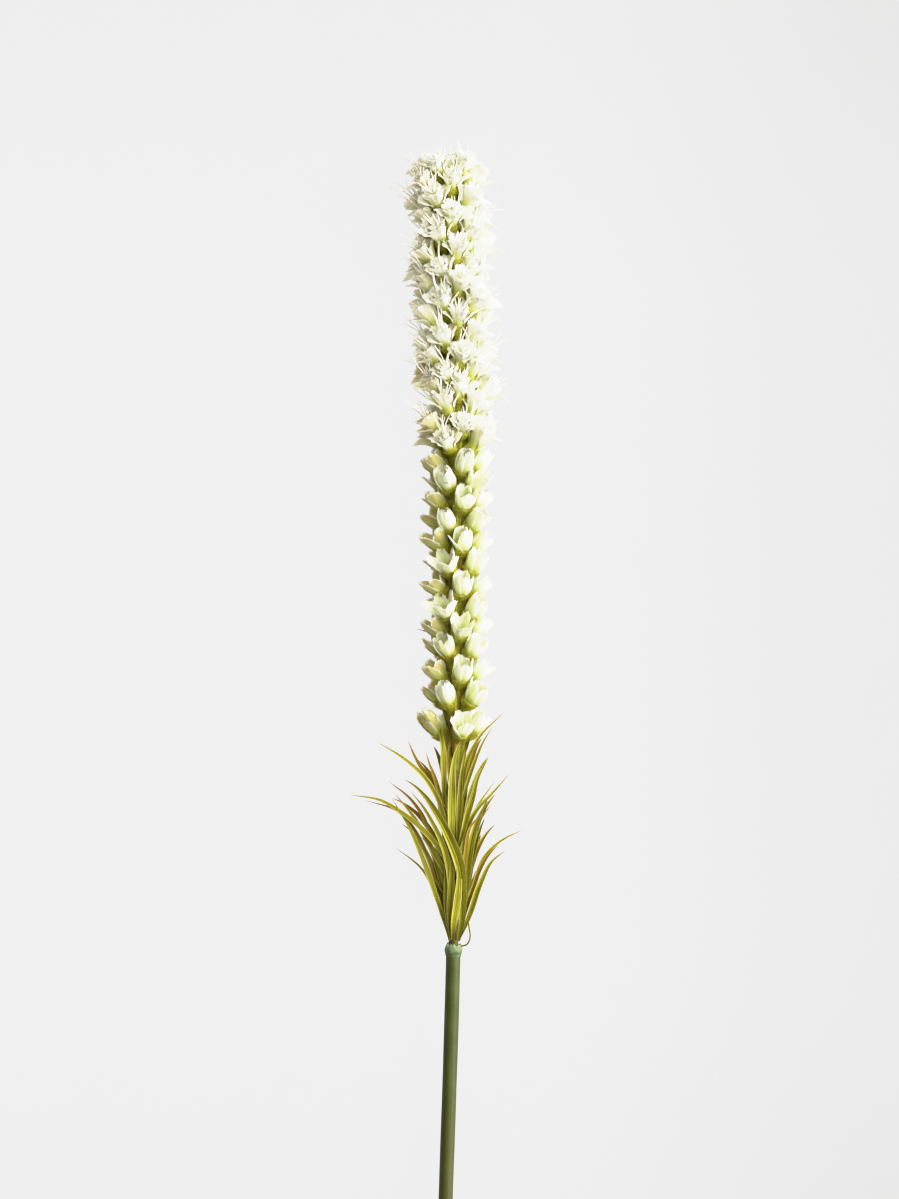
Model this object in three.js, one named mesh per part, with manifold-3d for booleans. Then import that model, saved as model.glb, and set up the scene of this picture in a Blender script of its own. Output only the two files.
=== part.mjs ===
// Artificial blazing star (liatris): one long cut stem with a spike of whorled florets, lying on a table.
// Millimetres. +Y runs up the stem to the flower's tip, +X is to its right and +Z is up from the table.
// Shapes are made in a frame whose origin is on the table below the collar's rim.
// The finished group is then moved so that its origin is below the middle of its box.

import * as THREE from "three";
import { mergeVertices } from "three/addons/utils/BufferGeometryUtils.js";
import Module from "manifold-3d";

const wasm = await Module();
wasm.setup();

// Driving dimensions
const GAP = 0.3; // clearance between two pieces that rest on each other
const SHEET = 0.7; // thickness of a petal
const STEM_LENGTH = 320; // from the collar's rim to the cut end
const STEM_RADIUS = 3.7;
const WIRE_RADIUS = 1.25;
const SOCKET_DEPTH = 13; // how far the stalk's peg reaches below the collar's rim
const PEG_RADIUS = 2.2;
const STALK_TOP = 382;
const STALK_RADIUS_LOW = 2.4;
const STALK_RADIUS_TOP = 1.7;
const COLLAR_HEIGHT = 6.2;
const BOX_MIDDLE = { x: -7.59, y: 39.42 }; // middle of the finished part's box

// The stem's centre line: where it is and how steeply it moves at a few distances from the collar's rim.
const CENTRE_LINE = [
  { y: -320, x: -8.6, xSlope: 0.018, z: 3.55, zSlope: 0.031 },
  { y: -115, x: -3.5, xSlope: 0.034, z: 9.9, zSlope: 0.03 },
  { y: 0, x: 0, xSlope: 0.022, z: 13.2, zSlope: 0.022 },
  { y: 110, x: 1, xSlope: 0.004, z: 15.2, zSlope: 0.014 },
  { y: 240, x: 1.9, xSlope: 0.002, z: 16.8, zSlope: 0.012 },
  { y: 300, x: 0.9, xSlope: -0.045, z: 17.6, zSlope: 0.01 },
  { y: 398, x: -4.2, xSlope: -0.05, z: 18.3, zSlope: 0.004 },
];

// Florets stand in whorls of four, and every second whorl is turned by half a space.
// Azimuths are degrees from straight up (+Z), turning to the right (+X).
const FLORETS_IN_WHORL = 4;
const EVEN_AZIMUTH = 16;
const ODD_AZIMUTH = -31;

// Buds: the height of each whorl's middle, and how far each of its four buds is open, from 0 to 1.
const BUD_WHORLS = [
  { height: 111.5, open: [0.45, 0.6, 0.3, 0.1] },
  { height: 127, open: [0.15, 0.6, 0.4, 0.3] },
  { height: 138.5, open: [0.35, 0.5, 0.3, 0.6] },
  { height: 151, open: [0.5, 0.5, 0.2, 0.4] },
  { height: 160.5, open: [1, 0.4, 0.5, 0.3] },
  { height: 170, open: [0.95, 0.1, 0.4, 0.2] },
  { height: 181.5, open: [0.25, 0.3, 0.2, 0.5] },
  { height: 192.5, open: [0.9, 0.15, 0.5, 0.3] },
  { height: 203.5, open: [0.1, 0.4, 0.3, 0.55] },
  { height: 214, open: [0.05, 0.2, 0.5, 0.3] },
  { height: 224.5, open: [0.6, 0.3, 0.4, 0.6] },
  { height: 233.5, open: [0.3, 0.3, 0.4, 0.5] },
  { height: 242.5, open: [0.05, 0.3, 0.3, 0.4] },
];

// Open florets: evenly spaced whorls, of which the last few lean up to round off the tip.
const OPEN_WHORLS = 17;
const OPEN_FIRST_HEIGHT = 252;
const OPEN_PITCH = 8.55;

// Sizes of one floret, along its own axis from the foot of its calyx.
const FLORET = {
  footRadius: 5.2, // distance of the foot from the centre line
  footRise: 4.5, // height of the foot above the middle of the hub
  footThickness: 1.5,
  calyxLength: 5.5,
};
const BUD = { ...FLORET, rise: 54, calyxRadius: 2.8, belly: 9.5, bellyRadius: 4.9, middle: 11.5 };
const OPEN = {
  ...FLORET,
  rise: 48,
  calyxRadius: 2.4,
  throat: 8.5,
  throatRadius: 3.5,
  shoulder: 12.5,
  shoulderRadius: 6.7,
  tip: 13.2,
  tipRadius: 7.2,
  filament: 19,
  middle: 11,
};
const HUB = { halfHeight: 1.3, wall: 2.1, faceHalfWidth: 1.2 };

// Leaves: the height of each whorl, then for each leaf its azimuth in degrees, its tip's rise and distance
// from the centre line, its width, and how far its azimuth drifts towards the tip.
const LEAF_ROOT = 3.5; // distance of a leaf's base from the centre line
const LEAF_LEAN = 0.16; // how far a leaf leaves the stalk for each millimetre that it climbs
const LEAF_THICKNESS = 0.7;
const LEAF_TWIST = 62; // degrees that a leaf at the stalk's side turns on its own length
const LEAF_WHORLS = [
  {
    height: 2.2,
    leaves: [
      [-79, 46, 29.5, 2.8, 0],
      [-57, 72, 35, 3.2, -4],
      [2, 80, 33, 4.8, -40],
      [58, 46, 30, 3.2, 4],
      [86, 55, 34.5, 3.2, 0],
      [128, 52, 17, 3, 0],
      [-150, 50, 15, 3, 0],
      [-112, 57, 29, 3, 0],
    ],
  },
  {
    height: 13.4,
    leaves: [
      [-94, 68, 33, 3, 0],
      [-36, 52, 16, 3.2, 0],
      [34, 62, 17, 3.6, 0],
      [72, 72, 28.5, 3.2, 2],
      [108, 46, 28, 3, 0],
      [168, 52, 12, 3, 0],
      [-130, 46, 20, 3, 0],
    ],
  },
  {
    height: 24.8,
    leaves: [
      [-75, 50, 51.5, 3.2, -9],
      [-114, 47, 45, 3, 13],
      [-8, 44, 12, 3.4, 0],
      [38, 68, 22, 3.4, 3],
      [57, 43, 18.5, 3, 0],
      [97, 50, 24, 3, 0],
      [145, 48, 14, 3, 0],
      [-170, 54, 12.5, 3, 0],
    ],
  },
  {
    height: 47.4,
    leaves: [
      [-76, 54, 40, 3.4, 0],
      [-30, 46, 12, 3.6, 0],
      [15, 55, 14.5, 4, 0],
      [76, 69, 26.5, 3.4, 0],
      [122, 46, 20, 3, 0],
      [-122, 44, 22, 3, 0],
      [176, 44, 11, 3, 0],
    ],
  },
  {
    height: 69,
    leaves: [
      [-72, 33, 25, 3, 0],
      [-60, 27, 17, 2.8, 0],
      [-36, 46, 13.5, 3.7, 0],
      [48, 40, 14, 3.2, 0],
      [104, 34, 16, 3, 0],
      [-158, 32, 9.5, 2.8, 0],
    ],
  },
];

// Finishes
const STEM_GREEN = { color: "#5c7148", roughness: 0.55, metalness: 0 };
const COLLAR_GREEN = { color: "#6f9070", roughness: 0.5, metalness: 0 };
const WIRE_STEEL = { color: "#8c8f90", roughness: 0.35, metalness: 1 };
const STALK_OLIVE = { color: "#6f7a22", roughness: 0.6, metalness: 0 };
const LEAF_OLIVE = { color: "#8f9a3c", roughness: 0.6, metalness: 0 };
const BUD_CREAM = { color: "#e6edcb", roughness: 0.75, metalness: 0 };
const FLORET_WHITE = { color: "#f1f4e2", roughness: 0.75, metalness: 0 };

// A number from -1 to 1 that is always the same for the same key.
function jitter(key) {
  const wave = Math.sin(key * 127.1 + 311.7) * 43758.5453;
  return 2 * (wave - Math.floor(wave)) - 1;
}

const radians = (degrees) => (degrees * Math.PI) / 180;
const mix = (a, b, t) => a + (b - a) * t;

// One coordinate of the centre line at a height, as a cubic through the stations.
function along(height, value, slope) {
  const last = CENTRE_LINE.length - 2;
  const next = CENTRE_LINE.findIndex((s) => s.y > height);
  const i = next < 0 ? last : Math.max(0, Math.min(last, next - 1));
  const [a, b] = [CENTRE_LINE[i], CENTRE_LINE[i + 1]];
  const span = b.y - a.y;
  const t = (height - a.y) / span;
  const s = 1 - t;
  return (
    s * s * (1 + 2 * t) * a[value] +
    t * t * (3 - 2 * t) * b[value] +
    span * t * s * (s * a[slope] - t * b[slope])
  );
}

const centre = (height) =>
  new THREE.Vector3(along(height, "x", "xSlope"), height, along(height, "z", "zSlope"));

// The directions at a height: up the stalk, to its right, and away from the table.
function frameAt(height) {
  const up = centre(height + 1).sub(centre(height - 1)).normalize();
  const right = new THREE.Vector3(1, 0, 0).addScaledVector(up, -up.x).normalize();
  const front = new THREE.Vector3().crossVectors(right, up);
  return { origin: centre(height), up, right, front };
}

// The outward and the sideways direction at an azimuth.
function turned(frame, azimuth) {
  const [s, c] = [Math.sin(azimuth), Math.cos(azimuth)];
  const out = new THREE.Vector3().addScaledVector(frame.right, s).addScaledVector(frame.front, c);
  const side = new THREE.Vector3().addScaledVector(frame.right, c).addScaledVector(frame.front, -s);
  return { out, side };
}

// A closed surface, collected point by point. A ring is a list of { id, turn }, in the order of turn.
class Surface {
  constructor() {
    this.points = [];
    this.faces = [];
  }

  point(v) {
    this.points.push(v.x, v.y, v.z);
    return this.points.length / 3 - 1;
  }

  polygon(first, ...rest) {
    for (let i = 1; i < rest.length; i++) this.faces.push(first, rest[i - 1], rest[i]);
  }

  // Joins two rings that may have different numbers of points.
  bridge(lower, upper) {
    const turnOf = (ring, i) => ring[i % ring.length].turn + Math.floor(i / ring.length);
    const idOf = (ring, i) => ring[i % ring.length].id;
    let [i, j] = [0, 0];
    while (i < lower.length || j < upper.length) {
      const lowerNext = i < lower.length ? turnOf(lower, i + 1) : Infinity;
      const upperNext = j < upper.length ? turnOf(upper, j + 1) : Infinity;
      if (lowerNext <= upperNext) {
        this.polygon(idOf(lower, i), idOf(lower, i + 1), idOf(upper, j));
        i++;
      } else {
        this.polygon(idOf(lower, i), idOf(upper, j + 1), idOf(upper, j));
        j++;
      }
    }
  }

  // Closes a ring with a point.
  close(ring, tip) {
    ring.forEach((p, i) => this.polygon(p.id, ring[(i + 1) % ring.length].id, tip));
  }

  geometry() {
    const positions = new THREE.Float32BufferAttribute(this.points, 3);
    return new THREE.BufferGeometry().setAttribute("position", positions).setIndex(this.faces);
  }
}

function solidOf(geometry) {
  const bare = geometry.clone();
  bare.deleteAttribute("normal");
  bare.deleteAttribute("uv");
  const merged = mergeVertices(bare, 1e-4);
  return new wasm.Manifold(
    new wasm.Mesh({
      numProp: 3,
      vertProperties: new Float32Array(merged.attributes.position.array),
      triVerts: new Uint32Array(merged.index.array),
    }),
  );
}

function geometryOf(solid) {
  const made = solid.getMesh();
  const positions = new THREE.BufferAttribute(made.vertProperties, made.numProp);
  return new THREE.BufferGeometry()
    .setAttribute("position", positions)
    .setIndex(new THREE.BufferAttribute(made.triVerts, 1));
}

// The table top, which flattens the florets that the spike lies on.
const table = (() => {
  const box = new THREE.BoxGeometry(400, 1200, 60);
  box.translate(0, 0, -30);
  return solidOf(box);
})();

const part = new THREE.Group();
const stemGroup = new THREE.Group();
const spikeGroup = new THREE.Group();
part.add(stemGroup, spikeGroup);

// Adds a mesh whose own origin is on the centre line at a height, with its Y axis along the stem there.
function addPiece(group, name, geometry, finish, height) {
  const { origin, right, up, front } = frameAt(height);
  const pose = new THREE.Matrix4().makeBasis(right, up, front).setPosition(origin);
  const own = geometry.clone().applyMatrix4(pose.clone().invert());
  own.computeVertexNormals();
  const mesh = new THREE.Mesh(own, new THREE.MeshStandardMaterial({ ...finish, flatShading: true }));
  mesh.name = name;
  mesh.applyMatrix4(pose);
  group.add(mesh);
}

// A ring of points round a centre, at equal turns.
function circle(surface, frame, radius, sides) {
  return Array.from({ length: sides }, (_, i) => {
    const turn = i / sides;
    const angle = 2 * Math.PI * turn;
    const place = frame.origin
      .clone()
      .addScaledVector(frame.right, radius * Math.cos(angle))
      .addScaledVector(frame.front, -radius * Math.sin(angle));
    return { id: surface.point(place), turn };
  });
}

// A tube along the centre line, whose radius is given for each height.
function tube({ from, to, steps, sides, radius }) {
  const surface = new Surface();
  const rings = [];
  for (let i = 0; i <= steps; i++) {
    const height = mix(from, to, i / steps);
    rings.push(circle(surface, frameAt(height), radius(height), sides));
  }
  for (let i = 0; i < steps; i++) surface.bridge(rings[i], rings[i + 1]);
  surface.polygon(...rings[0].map((p) => p.id).reverse());
  surface.polygon(...rings[steps].map((p) => p.id));
  return surface.geometry();
}

// A lathe shape that stands on the centre line, from points of radius and height.
function turnedPiece(height, profile, sides) {
  const frame = frameAt(height);
  const lathe = new THREE.LatheGeometry(
    profile.map(([r, h]) => new THREE.Vector2(r, h)),
    sides,
  );
  const pose = new THREE.Matrix4().makeBasis(frame.right, frame.up, frame.front);
  return lathe.applyMatrix4(pose.setPosition(frame.origin));
}

// Stem, wire and collar
function makeStem() {
  const skin = tube({
    from: -STEM_LENGTH,
    to: -COLLAR_HEIGHT - GAP,
    steps: 8,
    sides: 12,
    radius: (y) => STEM_RADIUS + 0.15 * (y / STEM_LENGTH),
  });
  const bore = tube({
    from: -STEM_LENGTH - 5,
    to: -SOCKET_DEPTH + 1,
    steps: 8,
    sides: 8,
    radius: () => WIRE_RADIUS + GAP,
  });
  const socket = tube({
    from: -SOCKET_DEPTH - GAP,
    to: 0,
    steps: 1,
    sides: 10,
    radius: () => PEG_RADIUS + GAP,
  });
  const hollow = solidOf(bore).add(solidOf(socket));
  addPiece(stemGroup, "stem", geometryOf(solidOf(skin).subtract(hollow)), STEM_GREEN, -STEM_LENGTH);
}

function makeWire() {
  const top = -SOCKET_DEPTH - 2 * GAP;
  const wire = tube({ from: -STEM_LENGTH, to: top, steps: 8, sides: 8, radius: () => WIRE_RADIUS });
  addPiece(stemGroup, "stem_wire", wire, WIRE_STEEL, -STEM_LENGTH);
}

function makeCollar() {
  const bore = STALK_RADIUS_LOW + GAP;
  const profile = [
    [bore, 0],
    [bore, -COLLAR_HEIGHT],
    [3.85, -COLLAR_HEIGHT],
    [3.8, -4.9],
    [4.35, -3.4],
    [4.3, -1.4],
    [3.7, 0],
    [bore, 0],
  ];
  addPiece(stemGroup, "collar", turnedPiece(0, profile, 12), COLLAR_GREEN, 0);
}

const stalkRadius = (height) =>
  height < -1
    ? PEG_RADIUS
    : mix(STALK_RADIUS_LOW, STALK_RADIUS_TOP, Math.max(0, height) / STALK_TOP);

function makeStalk() {
  const stalk = tube({ from: -SOCKET_DEPTH, to: STALK_TOP, steps: 14, sides: 8, radius: stalkRadius });
  addPiece(spikeGroup, "stalk", stalk, STALK_OLIVE, 0);
}

// One leaf: a pointed blade, which climbs the stalk and then arches away from it.
function leafSolid(whorlHeight, [azimuth, rise, reach, width, drift]) {
  const surface = new Surface();
  const place = (t) => {
    const climb = rise * Math.sin((Math.PI * t) / 2);
    const arch = reach - LEAF_ROOT - LEAF_LEAN * rise;
    const out = LEAF_ROOT + LEAF_LEAN * climb + arch * t ** 2.6;
    return { climb, out, azimuth: radians(azimuth + drift * t * t) };
  };
  const stations = [
    { t: 0, width: 0.5 },
    { t: 0.22, width: 0.85 },
    { t: 0.5, width: 1 },
    { t: 0.78, width: 0.62 },
  ];
  const twist = -radians(LEAF_TWIST) * Math.sin(radians(azimuth));
  const spot = (t) => {
    const { climb, out, azimuth: a } = place(t);
    const frame = frameAt(whorlHeight + climb);
    const { out: away, side } = turned(frame, a);
    return { point: frame.origin.clone().addScaledVector(away, out), side };
  };
  const rings = stations.map(({ t, width: share }) => {
    const { point, side } = spot(t);
    const forward = spot(t + 0.02).point.sub(point).normalize();
    const level = side.clone().addScaledVector(forward, -side.dot(forward)).normalize();
    const across = level.applyAxisAngle(forward, twist * Math.min(1, t / 0.45));
    const face = new THREE.Vector3().crossVectors(across, forward);
    const half = (share * width) / 2;
    const corners = [
      [half, -0.5],
      [-half, -0.5],
      [-half, 0.5],
      [half, 0.5],
    ];
    return corners.map(([a, b], i) => {
      const corner = point.clone().addScaledVector(across, a);
      return { id: surface.point(corner.addScaledVector(face, b * LEAF_THICKNESS)), turn: i / 4 };
    });
  });
  const tip = surface.point(spot(1).point);
  // The diagonals of the two broad faces run the same way, so that a twisted leaf keeps its thickness.
  rings.slice(1).forEach((ring, i) => {
    const [a, b, c, d] = rings[i].map((p) => p.id);
    const [e, f, g, h] = ring.map((p) => p.id);
    surface.polygon(b, f, e, a);
    surface.polygon(c, g, f, b);
    surface.polygon(c, d, h, g);
    surface.polygon(a, e, h, d);
  });
  surface.close(rings[rings.length - 1], tip);
  surface.polygon(...rings[0].map((p) => p.id).reverse());
  return solidOf(surface.geometry());
}

function makeLeafWhorl({ height, leaves }, number) {
  const bore = (STALK_RADIUS_LOW + GAP) / Math.cos(Math.PI / 8);
  const profile = [
    [bore, -1.4],
    [4.2, -1.4],
    [4.2, 1.4],
    [bore, 1.4],
    [bore, -1.4],
  ];
  const hub = solidOf(turnedPiece(height, profile, 8));
  const whorl = leaves.reduce((sum, leaf) => sum.add(leafSolid(height, leaf)), hub);
  addPiece(spikeGroup, `leaf_whorl_${number}`, geometryOf(whorl), LEAF_OLIVE, height);
}

// The frame of one floret: its foot, its axis, and the two directions across it.
function floretFrame(hubHeight, azimuth, form, rise) {
  const frame = frameAt(hubHeight);
  const { out, side } = turned(frame, radians(azimuth));
  const [s, c] = [Math.sin(radians(rise)), Math.cos(radians(rise))];
  const axis = out.clone().multiplyScalar(c).addScaledVector(frame.up, s);
  const top = out.clone().multiplyScalar(-s).addScaledVector(frame.up, c);
  const foot = frame.origin
    .clone()
    .addScaledVector(out, form.footRadius)
    .addScaledVector(frame.up, form.footRise);
  return { foot, axis, side, top };
}

// A ring of points round a floret's axis, each given as distance along it, radius and turn.
function floretRing(surface, floret, spots) {
  return spots.map(({ s, r, turn }) => {
    const angle = 2 * Math.PI * turn;
    const place = floret.foot
      .clone()
      .addScaledVector(floret.axis, s)
      .addScaledVector(floret.side, r * Math.cos(angle))
      .addScaledVector(floret.top, r * Math.sin(angle));
    return { id: surface.point(place), turn: turn - Math.floor(turn) };
  });
}

const inOrder = (ring) => [...ring].sort((a, b) => a.turn - b.turn);
const PETALS = 5;
const evenSpots = (s, r, spin, count = PETALS) =>
  Array.from({ length: count }, (_, i) => ({ s, r, turn: spin + i / count }));

// Petal tips and the notches between them, alternately.
const lobedSpots = (tip, notch, spin) =>
  Array.from({ length: 2 * PETALS }, (_, i) => ({
    ...(i % 2 ? notch : tip),
    turn: spin + i / (2 * PETALS),
  }));

// The pedicel and calyx, from the hub's face to the calyx's rim, which is returned.
function addCalyx(surface, face, floret, form, size) {
  const foot = floretRing(surface, floret, evenSpots(0, form.footThickness, 0.05));
  const rim = floretRing(surface, floret, evenSpots(form.calyxLength, form.calyxRadius * size, 0.05));
  surface.bridge(face, foot);
  surface.bridge(foot, rim);
  return rim;
}

// A bud, from shut (0) to a wide cup (1).
function addBud(surface, face, floret, form, open, size, spin) {
  const rim = addCalyx(surface, face, floret, form, size);
  const length = mix(18, 15.5, open) * size;
  const tipRadius = mix(1.5, 7.2, open) * size;
  const belly = { s: form.belly, r: form.bellyRadius * size };
  const crease = { s: form.belly, r: form.bellyRadius * size * 0.93 };
  const tip = { s: length, r: tipRadius };
  const notch = { s: length - 2.6, r: mix(2.4, 5.6, open) * size };
  const bellyRing = inOrder(floretRing(surface, floret, lobedSpots(belly, crease, spin)));
  const tipRing = inOrder(floretRing(surface, floret, lobedSpots(tip, notch, spin)));
  surface.bridge(rim, bellyRing);
  surface.bridge(bellyRing, tipRing);
  const shut = open < 0.25;
  if (shut) {
    surface.close(tipRing, surface.point(floret.foot.clone().addScaledVector(floret.axis, length - 1.5)));
    return;
  }
  const floorSpots = evenSpots(form.belly + 0.6, (form.bellyRadius - SHEET) * size * 0.8, spin);
  const floorRing = inOrder(floretRing(surface, floret, floorSpots));
  surface.bridge(tipRing, floorRing);
  surface.polygon(...floorRing.map((p) => p.id));
}

// An open floret: five petals that spread from a throat, with one long filament.
function addOpenFloret(surface, face, floret, form, size, spin, bend) {
  const rim = addCalyx(surface, face, floret, form, size);
  const half = 0.083; // half of a petal's width, in turns
  const flare = { s: 0.64 * SHEET, r: -0.77 * SHEET };
  const throat = { s: form.throat, r: form.throatRadius * size };
  const shoulder = { s: form.shoulder, r: form.shoulderRadius * size };
  const tip = { s: form.tip, r: form.tipRadius * size };
  const inside = ({ s, r }) => ({ s: s + flare.s, r: r + flare.r });
  const petals = Array.from({ length: PETALS }, (_, k) => {
    const turn = spin + k / PETALS;
    const wave = 0.3 * jitter(97 * spin + k);
    const lifted = ({ s, r }) => ({ s: s + wave, r });
    const outline = [
      { ...throat, turn: turn - half },
      { ...throat, turn: turn + half },
      { ...lifted(shoulder), turn: turn + half * 1.04 },
      { ...lifted(tip), turn },
      { ...lifted(shoulder), turn: turn - half * 1.04 },
    ];
    const outer = floretRing(surface, floret, outline);
    const inner = floretRing(surface, floret, outline.map((p) => ({ ...inside(p), turn: p.turn })));
    return { outer, inner };
  });
  surface.bridge(rim, inOrder(petals.flatMap((p) => p.outer.slice(0, 2))));
  petals.forEach(({ outer, inner }, k) => {
    const [a, b, c, d, e] = outer.map((p) => p.id);
    const [f, g, h, i, j] = inner.map((p) => p.id);
    const following = petals[(k + 1) % PETALS];
    surface.polygon(b, c, d, e);
    surface.polygon(b, e, a);
    surface.polygon(g, j, i);
    surface.polygon(g, i, h);
    surface.polygon(g, f, j);
    surface.polygon(c, b, g, h);
    surface.polygon(d, c, h, i);
    surface.polygon(e, d, i, j);
    surface.polygon(a, e, j, f);
    surface.polygon(b, following.outer[0].id, following.inner[0].id, g);
  });
  const throatInside = inOrder(petals.flatMap((p) => p.inner.slice(0, 2)));
  const thread = 0.45;
  const root = inOrder(floretRing(surface, floret, evenSpots(form.throat - 1.2, thread, spin, 3)));
  surface.bridge(throatInside, root);
  surface.close(root, surface.point(bent(floret, form.filament, bend).foot));
}

// A floret's frame moved up its axis, and sideways by a bend.
function bent(floret, distance, bend) {
  const foot = floret.foot
    .clone()
    .addScaledVector(floret.axis, distance)
    .addScaledVector(floret.side, bend)
    .addScaledVector(floret.top, 0.5 * Math.abs(bend));
  return { ...floret, foot };
}

// The hub of a whorl: a ring with a square bore and a face for each floret. The faces are returned.
function addHub(surface, height, azimuths) {
  const frame = frameAt(height);
  const apothem = stalkRadius(height) + GAP;
  const corners = azimuths.map((azimuth) => {
    const { out, side } = turned(frame, radians(azimuth));
    const spot = (reach, across, up) =>
      surface.point(
        frame.origin
          .clone()
          .addScaledVector(out, reach)
          .addScaledVector(side, across)
          .addScaledVector(frame.up, up),
      );
    const [w, h] = [HUB.faceHalfWidth, HUB.halfHeight];
    const reach = apothem + HUB.wall;
    return {
      face: [
        { id: spot(reach, w, h), turn: 0.125 },
        { id: spot(reach, -w, h), turn: 0.375 },
        { id: spot(reach, -w, -h), turn: 0.625 },
        { id: spot(reach, w, -h), turn: 0.875 },
      ],
      bore: [spot(apothem * Math.SQRT2, 0, -h), spot(apothem * Math.SQRT2, 0, h)],
    };
  });
  corners.forEach(({ face, bore }, i) => {
    const [rightTop, leftTop, leftLow, rightLow] = face.map((p) => p.id);
    const next = corners[(i + 1) % corners.length];
    const [nextLeftTop, nextLeftLow] = [next.face[1].id, next.face[2].id];
    surface.polygon(rightLow, nextLeftLow, nextLeftTop, rightTop);
    surface.polygon(bore[0], bore[1], next.bore[1], next.bore[0]);
    surface.polygon(leftTop, rightTop, bore[1]);
    surface.polygon(rightTop, nextLeftTop, next.bore[1], bore[1]);
    surface.polygon(rightLow, leftLow, bore[0]);
    surface.polygon(nextLeftLow, rightLow, bore[0], next.bore[0]);
  });
  return corners.map((c) => c.face);
}

// What makes each floret a little different from its neighbours.
function variation(whorl, j) {
  const key = whorl * 10 + j;
  return {
    turn: 2 * jitter(key),
    lift: 2.5 * jitter(key + 0.3),
    size: 1 + 0.03 * jitter(key + 0.5),
    spin: 0.5 + 0.5 * jitter(key + 0.7),
    bend: 3 * jitter(key + 0.9),
  };
}

const firstAzimuth = (whorl) => (whorl % 2 ? ODD_AZIMUTH : EVEN_AZIMUTH);

function makeWhorl({ name, whorl, height, form, rise, finish }, addFloret) {
  const surface = new Surface();
  const step = 360 / FLORETS_IN_WHORL;
  const azimuths = Array.from({ length: FLORETS_IN_WHORL }, (_, j) => firstAzimuth(whorl) + j * step);
  const hubHeight = height - form.middle * Math.sin(radians(form.rise)) - form.footRise;
  const faces = addHub(surface, hubHeight, azimuths);
  azimuths.forEach((azimuth, j) => {
    const own = variation(whorl, j);
    const floret = floretFrame(hubHeight, azimuth + own.turn, form, rise + own.lift);
    addFloret(surface, faces[j], floret, own, j);
  });
  addPiece(spikeGroup, name, geometryOf(solidOf(surface.geometry()).subtract(table)), finish, hubHeight);
}

const numbered = (base, n) => `${base}_${String(n).padStart(2, "0")}`;

function makeBudWhorl({ height, open }, whorl) {
  const name = numbered("bud_whorl", whorl + 1);
  const plan = { name, whorl, height, form: BUD, rise: BUD.rise, finish: BUD_CREAM };
  makeWhorl(plan, (surface, face, floret, own, j) =>
    addBud(surface, face, floret, BUD, open[j], own.size, own.spin),
  );
}

// The last two whorls lean up and are smaller, so that the spike ends in a dome.
const nearTip = (i) => Math.max(0, i - (OPEN_WHORLS - 3));

function makeOpenWhorl(i) {
  const name = numbered("floret_whorl", i + 1);
  const whorl = BUD_WHORLS.length + i;
  const height = OPEN_FIRST_HEIGHT + i * OPEN_PITCH;
  const rise = OPEN.rise + 6 * nearTip(i);
  const shrink = 1 - 0.09 * nearTip(i);
  const plan = { name, whorl, height, form: OPEN, rise, finish: FLORET_WHITE };
  makeWhorl(plan, (surface, face, floret, own) =>
    addOpenFloret(surface, face, floret, OPEN, shrink * own.size, own.spin, own.bend),
  );
}

// The last floret stands on the end of the stalk and points along it.
function makeTopFloret() {
  const frame = frameAt(STALK_TOP);
  const foot = frame.origin.clone().addScaledVector(frame.up, GAP);
  const floret = { foot, axis: frame.up, side: frame.right, top: frame.front.clone().negate() };
  const short = { calyxLength: 2, throat: 4.4, shoulder: 9, tip: 11.5, tipRadius: 6.4, filament: 16 };
  const form = { ...OPEN, ...short };
  const surface = new Surface();
  const face = floretRing(surface, floret, evenSpots(0, 1.2, 0.05));
  surface.polygon(...face.map((p) => p.id).reverse());
  const shifted = { ...floret, foot: foot.clone().addScaledVector(frame.up, 0.6) };
  addOpenFloret(surface, face, shifted, form, 0.8, 0.1, 1.5);
  addPiece(spikeGroup, "floret_top", geometryOf(solidOf(surface.geometry())), FLORET_WHITE, STALK_TOP);
}

makeStem();
makeWire();
makeCollar();
makeStalk();
LEAF_WHORLS.forEach((whorl, i) => makeLeafWhorl(whorl, i + 1));
BUD_WHORLS.forEach((whorl, i) => makeBudWhorl(whorl, i));
for (let i = 0; i < OPEN_WHORLS; i++) makeOpenWhorl(i);
makeTopFloret();

part.position.set(-BOX_MIDDLE.x, -BOX_MIDDLE.y, 0);

export default part;
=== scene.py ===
"""An artificial blazing star on one long stem, lying on a pale table.

Shapes are worked out in millimetres round the stem's centre line, and moved into the CAD frame at the end.
Heights are measured from the collar's rim. An azimuth is in degrees from straight up, to the right.
"""

import math

import bpy
import numpy as np
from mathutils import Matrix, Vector


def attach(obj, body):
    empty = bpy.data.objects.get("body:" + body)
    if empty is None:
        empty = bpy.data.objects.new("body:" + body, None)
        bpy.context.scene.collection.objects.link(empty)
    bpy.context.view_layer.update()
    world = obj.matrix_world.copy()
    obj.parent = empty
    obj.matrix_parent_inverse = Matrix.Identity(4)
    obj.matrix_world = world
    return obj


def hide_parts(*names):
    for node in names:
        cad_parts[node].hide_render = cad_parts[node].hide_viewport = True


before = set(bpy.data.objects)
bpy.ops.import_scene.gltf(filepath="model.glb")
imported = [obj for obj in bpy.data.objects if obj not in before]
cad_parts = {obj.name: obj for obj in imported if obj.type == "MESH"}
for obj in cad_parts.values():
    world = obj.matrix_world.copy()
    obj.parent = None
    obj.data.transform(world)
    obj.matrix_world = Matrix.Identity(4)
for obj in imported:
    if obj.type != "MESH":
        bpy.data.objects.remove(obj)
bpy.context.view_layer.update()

MM = 0.001
BODY = "root"
BOX_MIDDLE = np.array([-7.59, 39.42, 0.0])  # of the CAD model, in the frame of the sizes below

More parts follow.
